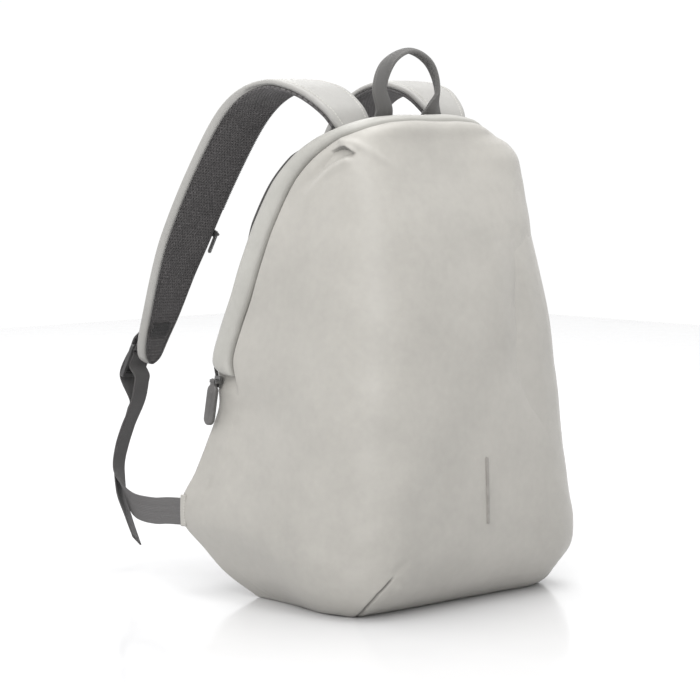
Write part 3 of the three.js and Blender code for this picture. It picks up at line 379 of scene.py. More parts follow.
SHIFT_Y = (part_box("handle")[0][1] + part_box("handle")[1][1]) / 2 - 0.001 * (
    float(back_at(HEIGHT - HANDLE["sunk"])) + 2 * SEAM_GAP + HANDLE["thickness"] / 2 - HANDLE["lean"])


def metres(points):
    return np.asarray(points, dtype=float) * 0.001 + [0, SHIFT_Y, 0]


def placed(name, data):
    """An object in the scene, from its mesh, lamp or camera."""
    thing = bpy.data.objects.new(name, data)
    bpy.context.scene.collection.objects.link(thing)
    return thing


def make(name, points, faces, uv, material, replaced=(), painted_shade=None):
    """A piece from points in millimetres, faces, and one uv in millimetres for each face corner."""
    mesh = bpy.data.meshes.new(name)
    mesh.from_pydata(metres(points).tolist(), [], faces)
    mesh.polygons.foreach_set("use_smooth", [True] * len(mesh.polygons))
    layer = mesh.uv_layers.new(name="UVMap")
    corners = np.empty(len(mesh.loops), dtype=np.int32)
    mesh.loops.foreach_get("vertex_index", corners)
    layer.data.foreach_set("uv", (uv(mesh, corners) * 0.001).astype(np.float32).ravel())
    # Painted shade of the folds, kept as a colour on the points
    if painted_shade is not None:
        layer = mesh.color_attributes.new("painted_shade", "FLOAT_COLOR", "POINT")
        layer.data.foreach_set("color", np.repeat(painted_shade, 4).astype(np.float32))
    mesh.materials.append(material)
    turn_out(mesh)
    piece = placed(name, mesh)
    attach(piece, "bag")
    if replaced:
        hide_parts(*replaced)
    return piece


def turn_out(mesh):
    """Turns the faces to point out."""
    work = bmesh.new()
    work.from_mesh(mesh)
    bmesh.ops.recalc_face_normals(work, faces=work.faces)
    work.to_mesh(mesh)
    work.free()


def ring_faces(rings, count):
    """Quads between rings of points."""
    faces = []
    for here in range(0, (rings - 1) * count, count):
        for i in range(count):
            j = (i + 1) % count
            faces.append((here + i, here + j, here + count + j, here + count + i))
    return faces


def capped_faces(rings, count):
    """Quads between rings of points, and a flat face over each end."""
    return [*ring_faces(rings, count), tuple(range(count - 1, -1, -1)),
            tuple(range((rings - 1) * count, rings * count))]


def point_uv(values):
    """A uv for each point, the same in every face that it belongs to."""
    return lambda mesh, corners: values[corners]


def chart_uv(mesh, corners):
    """Flat charts of the cloth: seen from the front, from the side, or from above."""
    count = len(mesh.polygons)
    normals = np.empty(count * 3, dtype=np.float32)
    mesh.polygons.foreach_get("normal", normals)
    normals = np.abs(normals.reshape(-1, 3))
    sizes = np.empty(count, dtype=np.int32)
    mesh.polygons.foreach_get("loop_total", sizes)
    chart = np.where(normals[:, 2] > 0.8, 2, np.where(normals[:, 0] > normals[:, 1], 0, 1))
    chart = np.repeat(chart, sizes)
    places = np.empty(len(mesh.vertices) * 3, dtype=np.float32)
    mesh.vertices.foreach_get("co", places)
    places = places.reshape(-1, 3)[corners] * 1000
    across = np.where(chart == 0, places[:, 1], places[:, 0])
    up = np.where(chart == 2, places[:, 1], places[:, 2])
    return np.column_stack([across, up])


def tube(name, rings, around, along, material, replaced=()):
    """A closed piece through rings of points, with flat ends. around and along give its uv."""
    rings = np.asarray(rings)
    ways, count = rings.shape[:2]
    uv = np.column_stack([np.tile(around, ways), np.repeat(along, count)])
    return make(name, rings.reshape(-1, 3), capped_faces(ways, count), point_uv(uv), material, replaced)


# Materials

# Distances in millimetres from one thread, hole, rib or row to the next
THREAD_PITCH, HOLE_PITCH, RIB_PITCH, ROW_PITCH = 1.05, 3.1, 1.5, 1.6


def tone(color, share):
    return tuple(part * share for part in color)


class Finish:
    """A material, with short ways to add nodes to it."""

    def __init__(self, name, color, roughness, metallic=0.0, sheen=0.0, specular=0.35):
        self.material = bpy.data.materials.new(name)
        self.material.use_nodes = True
        self.tree = self.material.node_tree
        self.shader = self.tree.nodes["Principled BSDF"].inputs
        for socket, value in (
                ("Base Color", color), ("Roughness", roughness), ("Metallic", metallic),
                ("Sheen Weight", sheen), ("Sheen Roughness", 0.5), ("Specular IOR Level", specular)):
            self.feed(self.shader[socket], value)

    def feed(self, socket, value):
        """Gives a socket a number, a colour or another node's output."""
        if isinstance(value, bpy.types.NodeSocket):
            self.tree.links.new(value, socket)
        else:
            socket.default_value = (*value, 1) if isinstance(value, tuple) else value

    def node(self, kind, settings=(), **values):
        """A new node with its settings, and values for its inputs by their names, with _ for a space."""
        node = self.tree.nodes.new(kind)
        for setting, value in settings:
            setattr(node, setting, value)
        for name, value in values.items():
            self.feed(node.inputs[name.replace("_", " ")], value)
        return node

    def sum_of(self, operation, *values):
        node = self.node("ShaderNodeMath", [("operation", operation)])
        for socket, value in zip(node.inputs, values):
            self.feed(socket, value)
        return node.outputs[0]

    def add(self, first, second):
        return self.sum_of("ADD", first, second)

    def times(self, first, second):
        return self.sum_of("MULTIPLY", first, second)

    def uv_axes(self):
        """The uv's two numbers in millimetres."""
        source = self.node("ShaderNodeUVMap", [("uv_map", "UVMap")])
        split = self.node("ShaderNodeSeparateXYZ", Vector=source.outputs[0])
        return [self.times(axis, 1000.0) for axis in split.outputs[:2]]

    def waves(self, value, pitch, phase=0.0):
        return self.sum_of("SINE", self.add(self.times(value, 2 * math.pi / pitch), phase))

    def noise(self, scale, detail):
        place = self.node("ShaderNodeTexCoord").outputs["Object"]
        return self.node("ShaderNodeTexNoise", Vector=place, Scale=scale, Detail=detail,
                         Roughness=0.55).outputs["Fac"]

    def mix(self, amount, first, second):
        return self.node("ShaderNodeMix", [("data_type", "RGBA")], Factor=amount, A=first,
                         B=second).outputs["Result"]

    def ranged(self, value, low, high):
        return self.node("ShaderNodeMapRange", From_Min=low, From_Max=high, Value=value).outputs[0]

    def relief(self, height, distance, strength):
        bump = self.node("ShaderNodeBump", Distance=distance, Strength=strength, Height=height)
        self.feed(self.shader["Normal"], bump.outputs[0])

    def paint(self, color):
        self.feed(self.shader["Base Color"], color)


def woven_cloth(name, color, with_painted_shade=False):
    """Fine plain-woven cloth with slightly uneven threads and soft clouding, and painted shade at its folds
    when asked.
    """
    cloth = Finish(name, color, 0.62, sheen=0.12)
    u, v = cloth.uv_axes()
    weave = cloth.times(cloth.waves(u, THREAD_PITCH), cloth.waves(v, THREAD_PITCH))
    threads = cloth.noise(900, 2.0)
    clouds = cloth.add(cloth.times(cloth.noise(16, 5.0), 0.7), cloth.times(cloth.noise(140, 3.0), 0.3))
    base = cloth.mix(cloth.ranged(clouds, 0.35, 0.65), tone(color, 0.90), tone(color, 1.06))
    grain = cloth.mix(cloth.ranged(weave, -1.2, 3.5), base, tone(color, 0.78))
    if with_painted_shade:
        # Painted shade: darkens the cloth towards a quarter of its tone at the slit, dart and valley
        shade_node = cloth.node("ShaderNodeVertexColor", [("layer_name", "painted_shade")])
        grain = cloth.mix(cloth.times(shade_node.outputs["Color"], 0.75), grain, tone(color, 0.25))
    cloth.paint(grain)
    cloth.feed(cloth.shader["Roughness"], cloth.ranged(threads, -0.6, 2.2))
    cloth.relief(cloth.add(cloth.times(weave, 0.5), threads), 0.00012, 0.7)
    return cloth.material


def air_mesh(name, color):
    """Knitted spacer mesh: rows of small dark holes between raised loops."""
    knit = Finish(name, color, 0.9, sheen=0.1)
    u, v = knit.uv_axes()
    half_v = knit.times(v, 0.5)
    slant = knit.times(u, math.sqrt(0.75))
    directions = (v, knit.add(half_v, slant), knit.sum_of("SUBTRACT", half_v, slant))
    first, second, third = (knit.waves(way, HOLE_PITCH, math.pi / 2) for way in directions)
    holes = knit.ranged(knit.add(first, knit.add(second, third)), 0.2, 2.2)
    base = knit.mix(knit.ranged(knit.noise(60, 4.0), 0.3, 0.7), color, tone(color, 1.4))
    base = knit.mix(knit.ranged(knit.noise(480, 3.0), 0.50, 0.78), base, tone(color, 2.6))
    knit.paint(knit.mix(holes, base, tone(color, 0.55)))
    knit.relief(knit.sum_of("SUBTRACT", knit.noise(700, 2.0), holes), 0.0005, 0.8)
    return knit.material


def ribbed_webbing(name, color):
    """Ribbed webbing in a slanted weave that turns at its middle."""
    web = Finish(name, color, 0.8, sheen=0.15)
    u, v = web.uv_axes()
    turned = web.sum_of("PINGPONG", web.add(u, 60.0), 3.2)
    ribs = web.waves(web.add(v, turned), RIB_PITCH)
    weave = web.add(ribs, web.times(web.waves(u, ROW_PITCH), 0.5))
    base = web.mix(web.ranged(weave, -1.5, 1.5), tone(color, 0.6), tone(color, 1.35))
    web.paint(web.mix(web.ranged(web.noise(300, 3.0), 0.4, 1.6), base, color))
    web.relief(weave, 0.00025, 0.8)
    return web.material


def moulded(name, color, roughness, metallic=0.0, grain=500.0, depth=0.00008):
    """Moulded or cast finish with a fine uneven surface and slightly worn tone."""
    cast = Finish(name, color, roughness, metallic)
    broad = cast.noise(grain * 0.12, 3.0)
    cast.paint(cast.mix(cast.ranged(broad, 0.35, 0.7), color, tone(color, 1.35)))
    cast.feed(cast.shader["Roughness"], cast.ranged(broad, -roughness, 2.6 - roughness))
    cast.relief(cast.noise(grain, 3.0), depth, 0.6)
    return cast.material


# The shell's cloth carries the painted shade of its folds
SHELL = woven_cloth("shell_cloth", (0.380, 0.366, 0.337), with_painted_shade=True)
TAB_CLOTH = woven_cloth("tab_cloth", (0.395, 0.381, 0.352))
BAND_CLOTH = woven_cloth("band_cloth", (0.375, 0.368, 0.342))
COVER_CLOTH = woven_cloth("cover_cloth", (0.335, 0.328, 0.312))
MESH = air_mesh("mesh_cloth", (0.072, 0.068, 0.068))
PATCH_CLOTH = air_mesh("patch_cloth", (0.034, 0.033, 0.033))
PIPING = ribbed_webbing("piping_cloth", (0.060, 0.058, 0.056))
WEBBING = ribbed_webbing("webbing_cloth", (0.085, 0.081, 0.080))
HANDLE_WEBBING = ribbed_webbing("handle_webbing", (0.128, 0.125, 0.121))
PLASTIC = moulded("buckle_plastic", (0.050, 0.049, 0.049), 0.45)
RUBBER = moulded("pull_rubber", (0.085, 0.082, 0.080), 0.6, grain=800.0)
METAL = moulded("dark_metal", (0.16, 0.16, 0.16), 0.38, metallic=0.85, grain=300.0, depth=0.00003)
FILM = moulded("reflective_film", (0.21, 0.20, 0.185), 0.35, grain=900.0, depth=0.00002)
THREAD = moulded("pale_thread", (0.55, 0.54, 0.50), 0.7, grain=900.0)
DARK_THREAD = moulded("dark_thread", (0.07, 0.068, 0.068), 0.7, grain=900.0)


# The shell

# Stations along half the outline, and rows from the rim's zone to the front
SHELL_STATIONS, SHELL_ROWS, ROW_TURN = 290, 98, 70
# Rows in the rim's zone by distance from the rim, closer together where the band's edge lies
RIM_ROWS = (0, 1.2, 3, 6, 9, 12.5, 16, 20, 23, 24, 25.2, 26.4, 27.6, 28.8, 30, 31.4, 33)
# Shares of the lip that is turned in round the mouth, and shares of the depth for the inner face
LIP_ROWS = (0.04, 0.12, 0.25, 0.4, 0.55, 0.7, 0.85, 1.0)
INNER_ROWS = np.linspace(0.06, 0.985, 30)


def corner_boost(points):
    """More stations at the heights of the corner fold and of the bottom dart."""
    return 1 + 5.0 * hill(points[:, 2] - 403, 18) + 2.5 * hill(points[:, 2] - 18, 26) * (points[:, 0] > 90)


def row_shares():
    """Shares of the depth beyond the rim's zone, evenly along the side's curve."""
    reach = FRONT_REACH + BACK_REACH
    turn = np.linspace(0, math.pi / 2, 1501)
    depths = np.sin(turn) ** (1 / 3)
    path = np.column_stack([HALF * np.cos(turn) ** 0.5, reach * depths])
    kept = depths > RIM_ROWS[-1] / reach
    spaced = resample(path[kept], SHELL_ROWS, ROW_TURN)
    wanted = np.interp(spaced, np.linspace(0, 1, kept.sum()), depths[kept])
    return (wanted[1:-1] - wanted[0]) / (1 - wanted[0])


def outer_skin(outer):
    """Rings of the outer face from the rim to the front, and how much painted shade they get at their folds."""
    heights = outer[:, 2]
    depths = [depth_from_rim(heights, from_rim) for from_rim in RIM_ROWS]
    shares = row_shares()
    depths += [depths[-1] + (1 - depths[-1]) * share for share in shares]
    grid = np.array([form_point(outer, depth, 0) for depth in depths])
    from_rims = np.array([*RIM_ROWS, *[HEIGHT] * len(shares)])[:, None]
    normals = grid_normals(grid)
    lift, painted_shade = fold_lift(grid, normals)
    clear = ease(BAND["width"] - 1, BAND["width"] + 6, from_rims)
    sag = sum(height * ripple(grid, size, seed) for height, size, seed in SAGS)
    lift = (lift + sag) * clear - seat(heights, from_rims)
    grid = grid + normals * lift[:, :, None]
    grid[:, :, 2] = np.maximum(grid[:, :, 2], 0)
    return grid, painted_shade * clear


def inner_skin(shares, rim, sunk):
    """Rings of the rim turned in round the mouth, then of the inner face back to the front."""
    mouth = both_sides(shares, RIM_LIP + BAND["seat"])
    mouth_z = np.maximum(MOUTH_FOOT, mouth[:, 2])
    lip = []
    for t in LIP_ROWS:
        z = rim[:, 2] + (mouth_z - rim[:, 2]) * t
        x = rim[:, 0] + (mouth[:, 0] - rim[:, 0]) * t
        y = back_at(np.maximum(0, z)) - 0.6 * math.exp(-t * 9)
        lip.append(np.column_stack([x, y, np.maximum(z, 0.4)]))
    lip.append(lip[-1] - [0, WALL, 0])
    inner = both_sides(shares, WALL)
    for t in (0.5, 0.0):
        z = np.maximum(WALL, inner[:, 2] + (mouth_z - inner[:, 2]) * t)
        x = inner[:, 0] + (mouth[:, 0] - inner[:, 0]) * t
        lip.append(np.column_stack([x, back_at(z) - WALL, z]))
    face = np.array([form_point(inner, share, WALL) for share in INNER_ROWS])
    toward = np.array([0, 0, MIDDLE_Z]) - face
    toward[:, :, 1] = 0
    toward /= np.maximum(np.linalg.norm(toward, axis=2), 1e-9)[:, :, None]
    face += toward * (sunk[None, :] * np.exp(-np.linspace(0, 6, len(face)))[:, None])[:, :, None]
    return np.concatenate([lip, face])


def make_shell():
    shares = resample(FINE_OUTLINE, SHELL_STATIONS, OUTLINE_TURN, corner_boost)
    outer = both_sides(shares, 0)
    grid, painted_shade = outer_skin(outer)
    rings = np.concatenate([grid[::-1], inner_skin(shares, grid[0], seat(outer[:, 2], 0.0))])
    count = rings.shape[1]
    tips = [[0, front_at(MIDDLE_Z) + inset, MIDDLE_Z] for inset in (0, WALL)]
    points = np.vstack([rings.reshape(-1, 3), tips])
    tip, end = len(points) - 2, len(points) - 1
    last = (len(rings) - 1) * count
    faces = ring_faces(len(rings), count)
    for i in range(count):
        j = (i + 1) % count
        faces += [(tip, j, i), (end, last + i, last + j)]
    # Painted shade of the folds, on the points of the outer face only
    shade_values = np.zeros(len(points))
    shade_values[:painted_shade.size] = painted_shade[::-1].ravel()
    make("backpack_shell", points, faces, chart_uv, SHELL, ("shell",), shade_values)


# The puffed band over the rim

# How far from its ends the band narrows and flattens, and the dent in its crest
BAND_TAPER, BAND_FLATTEN = 13.0, 9.0
BAND_DENT = ((76.0, -2.0, 424.0), 22.0, -4.5)


def from_full(distance, reach):
    """0 beyond the reach from an end, growing along a quarter circle to 1 at the end."""
    return 1 - np.sqrt(np.maximum(0, 1 - np.clip(1 - distance / reach, 0, 1) ** 2))


def make_band():
    fine_shares = np.linspace(share_at_height(BAND["foot"]), 1, 900)
    line = catmull(KNOTS, fine_shares, True)
    picked = np.interp(resample(line, 150, OUTLINE_TURN), np.linspace(0, 1, len(line)), fine_shares)
    length = way_along(catmull(KNOTS, picked, True))
    left = outline(picked, 0) * [-1, -1, 1]
    stations = np.vstack([left, left[:-1][::-1] * [-1, -1, 1]])
    way = np.concatenate([length, 2 * length[-1] - length[:-1][::-1]])
    from_end = np.minimum(way, way[-1] - way)
    full = BAND["width"] - 1
    start_edge = full * 0.86 * from_full(from_end, BAND_TAPER)
    end_share = 1 - from_full(from_end, BAND_FLATTEN)
    around = np.gradient(form_point(stations, depth_from_rim(stations[:, 2], full * 0.5), 0), axis=0)

    def place(share, lift):
        """The ring at a share of the band's width, lifted off the seat in the shell."""
        depth = depth_from_rim(stations[:, 2], start_edge + (full - start_edge) * share)
        here = form_point(stations, depth, 0)
        out = np.cross(form_point(stations, depth + 0.01, 0) - here, around)
        out /= np.linalg.norm(out, axis=1)[:, None]
        return here + out * (lift + bump_at(here, *BAND_DENT) - BAND["seat"])[:, None]

    shares_under = np.linspace(0, 1, 9)
    rings = [place(share, SEAM_GAP + 0.15) for share in shares_under]
    soft = 0.35 * ripple(form_point(stations, 0.05, 0), 46, 21)
    edge = BAND["edge"] * (0.35 + 0.65 * end_share)
    shares_over = np.linspace(1, 0, 23)
    for share in shares_over:
        hump = max(0.0, 1 - abs(2 * share - 1) ** 2.6) ** (1 / 2.2) * (0.25 + 0.75 * end_share)
        rings.append(place(share, 0.45 + edge + (BAND["puff"] - BAND["edge"] + soft) * hump))
    rings = np.array(rings).transpose(1, 0, 2)
    around_uv = np.concatenate([shares_under * full, 2 * full - shares_over * full])
    piece = tube("zip_band_puffed", rings, around_uv, way, BAND_CLOTH, ("zip_band",))


# The padded back panel

# Its edge's rounding, and its seam: place as a share of the panel's size, depth and width
PANEL_ROUND = 1.6
PANEL_SEAM = dict(place=0.935, depth=1.3, width=0.011)


def make_panel():
    inset = PANEL["inset"] + BAND["seat"]
    middle = (PANEL["foot"] + HEIGHT) / 2
    shares = resample(FINE_OUTLINE, 130, OUTLINE_TURN)

    def ring_at(extra, shrink, lift):
        edge = both_sides(shares, inset + extra)
        z = middle + (np.maximum(PANEL["foot"], edge[:, 2]) - middle) * shrink
        return np.column_stack([edge[:, 0] * shrink, back_at(z) + PANEL["gap"] + lift, z])

    rings = [ring_at(0.6, shrink, 0.2) for shrink in (0.04, 0.3, 0.5, 0.7, 0.85, 0.95, 0.99)]
    for turn in np.linspace(0, math.pi, 6):
        out = PANEL_ROUND * math.sqrt(max(0.0, math.sin(turn))) if turn < 3 else 0
        rings.append(ring_at(PANEL_ROUND - out, 1, 0.2 + PANEL["edge"] * (0.5 - 0.5 * math.cos(turn))))
    face = len(rings)
    for shrink in [*np.linspace(0.985, 0.9, 9), *np.linspace(0.88, 0.04, 36)]:
        swell = (PANEL["thickness"] - PANEL["edge"]) * math.sqrt(1 - shrink**4)
        seam = PANEL_SEAM["depth"] * hill(shrink - PANEL_SEAM["place"], PANEL_SEAM["width"])
        rings.append(ring_at(PANEL_ROUND, shrink, PANEL["edge"] + swell - seam))
    rings = np.array(rings)
    rings[face:, :, 1] += 0.35 * ripple(rings[face:], 70, 5)
    points = rings.reshape(-1, 3)
    piece = make("back_panel_padded", points, capped_faces(*rings.shape[:2]), point_uv(points[:, [0, 2]]),
                 MESH, ("back_panel",))


# Bands along frames

def frames_of(points, across):
    """Frames along points: across made square to the way, over on the other side."""
    along = np.gradient(points, axis=0)
    along /= np.linalg.norm(along, axis=1)[:, None]
    wide = across - along * (across * along).sum(1)[:, None]
    wide /= np.linalg.norm(wide, axis=1)[:, None]
    return dict(at=points, along=along, across=wide, over=np.cross(along, wide))


def sweep(frames, sections):
    """Rings of points from sections of (across, over), one for each frame or one for all."""
    sections = np.broadcast_to(sections, (len(frames["at"]), *np.shape(sections)[-2:]))
    return (frames["at"][:, None, :] + frames["across"][:, None, :] * sections[:, :, 0:1]
            + frames["over"][:, None, :] * sections[:, :, 1:2])


def strap_frames(count):
    """Frames along the left strap, with the share of its length."""
    knots = STRAP_ROWS[:, :3] * [-HALF, STRAP["reach"], HEIGHT]
    shares = np.linspace(0, 1, count)
    lean = np.radians(monotone(np.linspace(0, 1, len(STRAP_ROWS)), STRAP_ROWS[:, 3])(shares))
    across = np.column_stack([-np.cos(lean), np.sin(lean), np.zeros(count)])
    return dict(frames_of(catmull(knots, shares), across), share=shares)


def rooted_frames(count):
    """The strap's frames, and a few more that take its top down behind the band."""
    frames = strap_frames(count)
    root = catmull(frames["at"][0] + ROOT_STEPS, np.linspace(0, 1, 9))[:-1]
    across = np.vstack([np.repeat(frames["across"][:1], len(root), axis=0), frames["across"]])
    shares = np.concatenate([np.zeros(len(root)), frames["share"]])
    return dict(frames_of(np.vstack([root, frames["at"]]), across), share=shares)


def strap_width_at(shares):
    return STRAP["width"] * strap_taper(shares)


def mirrored(points, side):
    return points * [side, 1, 1]


def flat_section(width, thickness):
    """Flat section with rounded edges."""
    out, up = width / 2, thickness / 2
    turn = np.linspace(-math.pi / 2, math.pi / 2, 9)
    right = [(out - up + up * math.cos(t), up * math.sin(t)) for t in turn]
    top = [(x, up) for x in np.linspace(out - up, -(out - up), 15)[1:-1]]
    half = np.array([*right, *top])
    return np.vstack([half, -half])


def ribbon(name, points, across, sections, material, replaced, side=1):
    """A band of webbing along points. across gives the direction of its width."""
    rings = mirrored(sweep(frames_of(points, across), sections), side)
    width = sections[..., 0] if sections.ndim == 2 else sections[0][:, 0]
    tube(name, rings, width, way_along(points), material, replaced)


# The shoulder straps

# Between these shares of the strap's length its outer edge goes over to being folded under
FOLD_UNDER = (0.28, 0.55)
# How much shorter the hem is before that, and the radius of the cover's rolled edge
HEM_EASE, COVER_ROLL = 2.2, 2.6
STRAP_HIGH = STRAP["thickness"] / 2


def hem_of(out):
    return min(1.1, out * 0.4)


def cover_section(out, soft, grow):
    """The pale cover: crowned outer face, rolled edges, and a thin hem on each side."""
    low = STRAP_HIGH - STRAP["hem_cover"] + HEM_EASE * (1 - grow)
    inner = STRAP_HIGH - STRAP["skin"]
    hem = hem_of(out)
    edge = [(out + COVER_ROLL * (math.sin(t) - 1), STRAP_HIGH + COVER_ROLL * (math.cos(t) - 1))
            for t in np.linspace(0, math.pi / 2, 7)]
    face = [(x, STRAP_HIGH + (0.9 + soft) * (1 - (x / out) ** 2) - 0.5 * hill(abs(x) - out + 6, 0.9))
            for x in np.linspace(-(out - 2.9), out - 2.9, 33)]
    last = (out - hem, inner - 0.6)
    hanging = [(out, 0.0), (out - 0.1, low + 1.2), (out - hem * 0.6, low), (out - hem, low + 0.4)]
    plain = [*hanging, (out - hem, low + 0.5), last]
    folded = [(out + 0.2, 0.0), (out, low + 0.6), (out - 0.9, 0.7 - STRAP_HIGH),
              (out - min(3.4, out * 0.3), 0.2 - STRAP_HIGH), (out - hem - 0.2, low + 0.5), last]
    outer = [(a + (c - a) * grow, b + (d - b) * grow) for (a, b), (c, d) in zip(plain, folded)]
    under = [(x, inner) for x in np.linspace(out - hem - 1, -(out - hem - 1), 9)]
    return [*face, *edge, *outer, *under, *[(-x, y) for x, y in reversed([*edge, *hanging, last])]]


def pad_section(out, soft, grow):
    """The dark pad, with a sewn line near each edge."""
    inner = out - hem_of(out) - 0.35
    top = STRAP_HIGH - STRAP["skin"] - 0.4
    low = STRAP_HIGH - STRAP["hem_cover"] - 0.35 + HEM_EASE * (1 - grow)
    wide = out - 0.2
    near = wide - min(COVER_ROLL, out * 0.25) * grow
    face = []
    for x in np.linspace(-1, 1, 41):
        roll = (1 - abs(x) ** 7) ** 0.6
        seam = 0.75 * hill(abs(x) * wide - wide + 5.5, 0.8)
        face.append((x * (near if x > 0 else wide), 2.0 - STRAP_HIGH - (2.0 + 0.8 * soft) * roll + seam))
    return [*face, (near, low - 0.1), (inner - 0.8, low), (inner, top), (0, top), (-inner, top),
            (-inner, low), (-wide, low - 0.1)]


def make_strap(side, word):
    frames = rooted_frames(240)
    shares = frames["share"]
    along = (strap_width_at(shares) / 2, 0.3 * ripple(frames["at"], 38, 11), ease(*FOLD_UNDER, shares))
    way = way_along(frames["at"])

    def layer(name, section_of, material, slot, replaced):
        sections = np.array([section_of(*place) for place in zip(*along)])
        rings = mirrored(sweep(frames, sections), side)
        return tube(f"{name}_{word}", rings, way_along(sections[100]), way, material, (replaced,))

    layer("strap_cover_fine", cover_section, COVER_CLOTH, "cover_cloth", f"strap_cover_{word}")
    pad = layer("strap_pad_fine", pad_section, MESH, "mesh_cloth", f"strap_pad_{word}")


# The carry handle

def make_handle():
    foot = HEIGHT - HANDLE["sunk"]
    plane = float(back_at(foot)) + 2 * SEAM_GAP + HANDLE["thickness"] / 2
    belly = HANDLE["spread"] * 0.61
    leg, rise, lean = HANDLE["spread"] / 2, HANDLE["rise"], HANDLE["lean"]
    half = [(leg, 0, foot), (leg + 1, lean, foot + rise * 0.28), (belly, lean, foot + rise * 0.6),
            (belly * 0.72, lean, foot + rise * 0.975)]
    knots = [*[(-x, fore, z) for x, fore, z in half], (0, lean, HEIGHT + rise), *half[::-1]]
    knots = np.array([(x, plane - fore, z) for x, fore, z in knots])
    shares = np.linspace(0, 1, 140)
    points = catmull(knots, shares, True)
    turn = np.radians(monotone(TWIST[:, 0], TWIST[:, 1])(shares))
    across = np.column_stack([np.cos(turn), -np.sin(turn), np.zeros(len(shares))])
    sections = []
    for fold in monotone(TWIST[:, 0], TWIST[:, 2])(shares):
        width = HANDLE["width"] - 8.0 * fold
        section = flat_section(width, HANDLE["thickness"] * (1 + 0.75 * fold))
        section[:, 1] += 1.6 * fold * (section[:, 0] / (width / 2)) ** 2 - 0.5 * fold
        sections.append(section)
    ribbon("carry_handle_webbing", points, across, np.array(sections), HANDLE_WEBBING, ("handle",))

    # Two rows of thread across the foot of each leg
    frames = frames_of(points, across)
    for word, on_leg in (("left", shares < 0.3), ("right", shares > 0.7)):
        for row, height in enumerate((foot + 14.5, foot + 17.5)):
            k = int(np.argmin(np.where(on_leg, np.abs(points[:, 2] - height), 1e9)))
            out = frames["over"][k] * (-1 if frames["over"][k][1] > 0 else 1)
            across_leg = np.linspace(-8.5, 8.5, 30)[:, None] * frames["across"][k]
            line = points[k] + out * HANDLE["thickness"] / 2 + across_leg
            stitch_line(f"handle_stitches_{word}_{row}", line, np.tile(out, (30, 1)), DARK_THREAD,
                        pitch=2.4, length=1.7, radius=0.3)


# The adjuster: buckle frame, its sewn loop and the strap webbing

def buckle_frame():
    frames = strap_frames(31)
    i = int(np.argmax(frames["share"] > BUCKLE["place"]))
    lean = math.radians(BUCKLE["lean"])
    down = frames["along"][i] * math.cos(lean) + frames["over"][i] * math.sin(lean)
    across = frames["across"][i]
    at = frames["at"][i] + frames["over"][i] * (STRAP_HIGH + BUCKLE["stand"])
    return at, across, down, np.cross(down, across)


def webbing_line(rows, count):
    """Places along the webbing's rows, and the direction of its width at each."""
    knots = rows[:, :3] * [-HALF, STRAP["reach"], HEIGHT]
    shares = np.linspace(0, 1, count)
    ats = np.linspace(0, 1, len(rows))
    spin, stand = (np.radians(monotone(ats, rows[:, k])(shares)) for k in (3, 4))
    wide = np.column_stack([-np.cos(spin) * np.cos(stand), np.sin(spin) * np.cos(stand), np.sin(stand)])
    return catmull(knots, shares), wide


def kept_apart(points):
    """Which points lie clear of the one before."""
    return np.concatenate([[True], np.linalg.norm(np.diff(points, axis=0), axis=1) > 0.05])


def make_webbing(side, word):
    at, across, down, over = buckle_frame()
    slot = (BUCKLE["length"] - 3 * BUCKLE["bar"]) / 2
    section = flat_section(WEB["width"], WEB["thickness"])

    def in_frame(a, d, o):
        return at + across * a + down * d + over * o

    def turn_round(d, away, way):
        return [in_frame(0, d + away * math.sin(t) * way, -away * math.cos(t))
                for t in np.linspace(0, math.pi, 13)]

    away = BUCKLE["thickness"] / 2 + 1.5 * SEAM_GAP + WEB["thickness"] / 2
    bend = turn_round(BUCKLE["bar"] + slot - away * 0.4, away, -1)[::-1]
    free, free_wide = webbing_line(FREE_ROWS, 26)
    loaded, loaded_wide = webbing_line(LOADED_ROWS, 40)
    wrap = [in_frame(0, BUCKLE["length"] + 3, away), *bend,
            in_frame(0, BUCKLE["length"] * 0.7, -away - SEAM_GAP)]
    points = np.vstack([free[::-1], wrap, loaded])
    wide = np.vstack([free_wide[::-1], [across] * len(wrap), loaded_wide])
    keep = kept_apart(points)
    points, wide = points[keep], wide[keep]
    shares = np.linspace(0, 1, len(points))
    picked = resample(catmull(points, np.linspace(0, 1, 3000), True), 230, 6)
    wide = np.column_stack([np.interp(picked, shares, wide[:, k]) for k in range(3)])
    ribbon(f"strap_webbing_{word}", catmull(points, picked, True), wide, section, WEBBING,
           (f"webbing_{word}",), side)

    # The loop that holds the buckle
    away = BUCKLE["thickness"] / 2 + SEAM_GAP + WEB["thickness"] / 2
    bend = turn_round(BUCKLE["bar"] + away * 0.4, away, 1)
    frames = strap_frames(31)
    sewn = (frames["share"] > BUCKLE["place"] - BUCKLE["sewn"]) & (frames["share"] < BUCKLE["place"] - 0.012)
    lift = STRAP_HIGH + 0.8 + SEAM_GAP + WEB["thickness"] / 2
    lower, upper = (frames["at"][sewn] + frames["over"][sewn] * (lift + more)
                    for more in (0, WEB["thickness"] + SEAM_GAP))
    points = np.vstack([lower, [in_frame(0, -2, -away)], bend, [in_frame(0, -2, away)], upper[::-1]])
    points = points[kept_apart(points)]
    picked = resample(catmull(points, np.linspace(0, 1, 1200), True), 90, 3.0)
    points = catmull(points, picked, True)
    ribbon(f"buckle_loop_fine_{word}", points, across[None], section, WEBBING, (f"buckle_loop_{word}",), side)


# The dark pocket on the left strap's inner face

def make_patch():
    frames = strap_frames(210)
    used = (frames["share"] > PATCH["start"]) & (frames["share"] < PATCH["end"])
    cut = {key: value[used] for key, value in frames.items()}
    low = -STRAP_HIGH - SEAM_GAP - PATCH["thickness"] / 2
    section = flat_section(PATCH["width"], PATCH["thickness"]) + [PATCH["aside"], low + 0.1]
    tube("strap_patch_fine", sweep(cut, section), section[:, 0], way_along(cut["at"]), PATCH_CLOTH,
         ("strap_patch",))


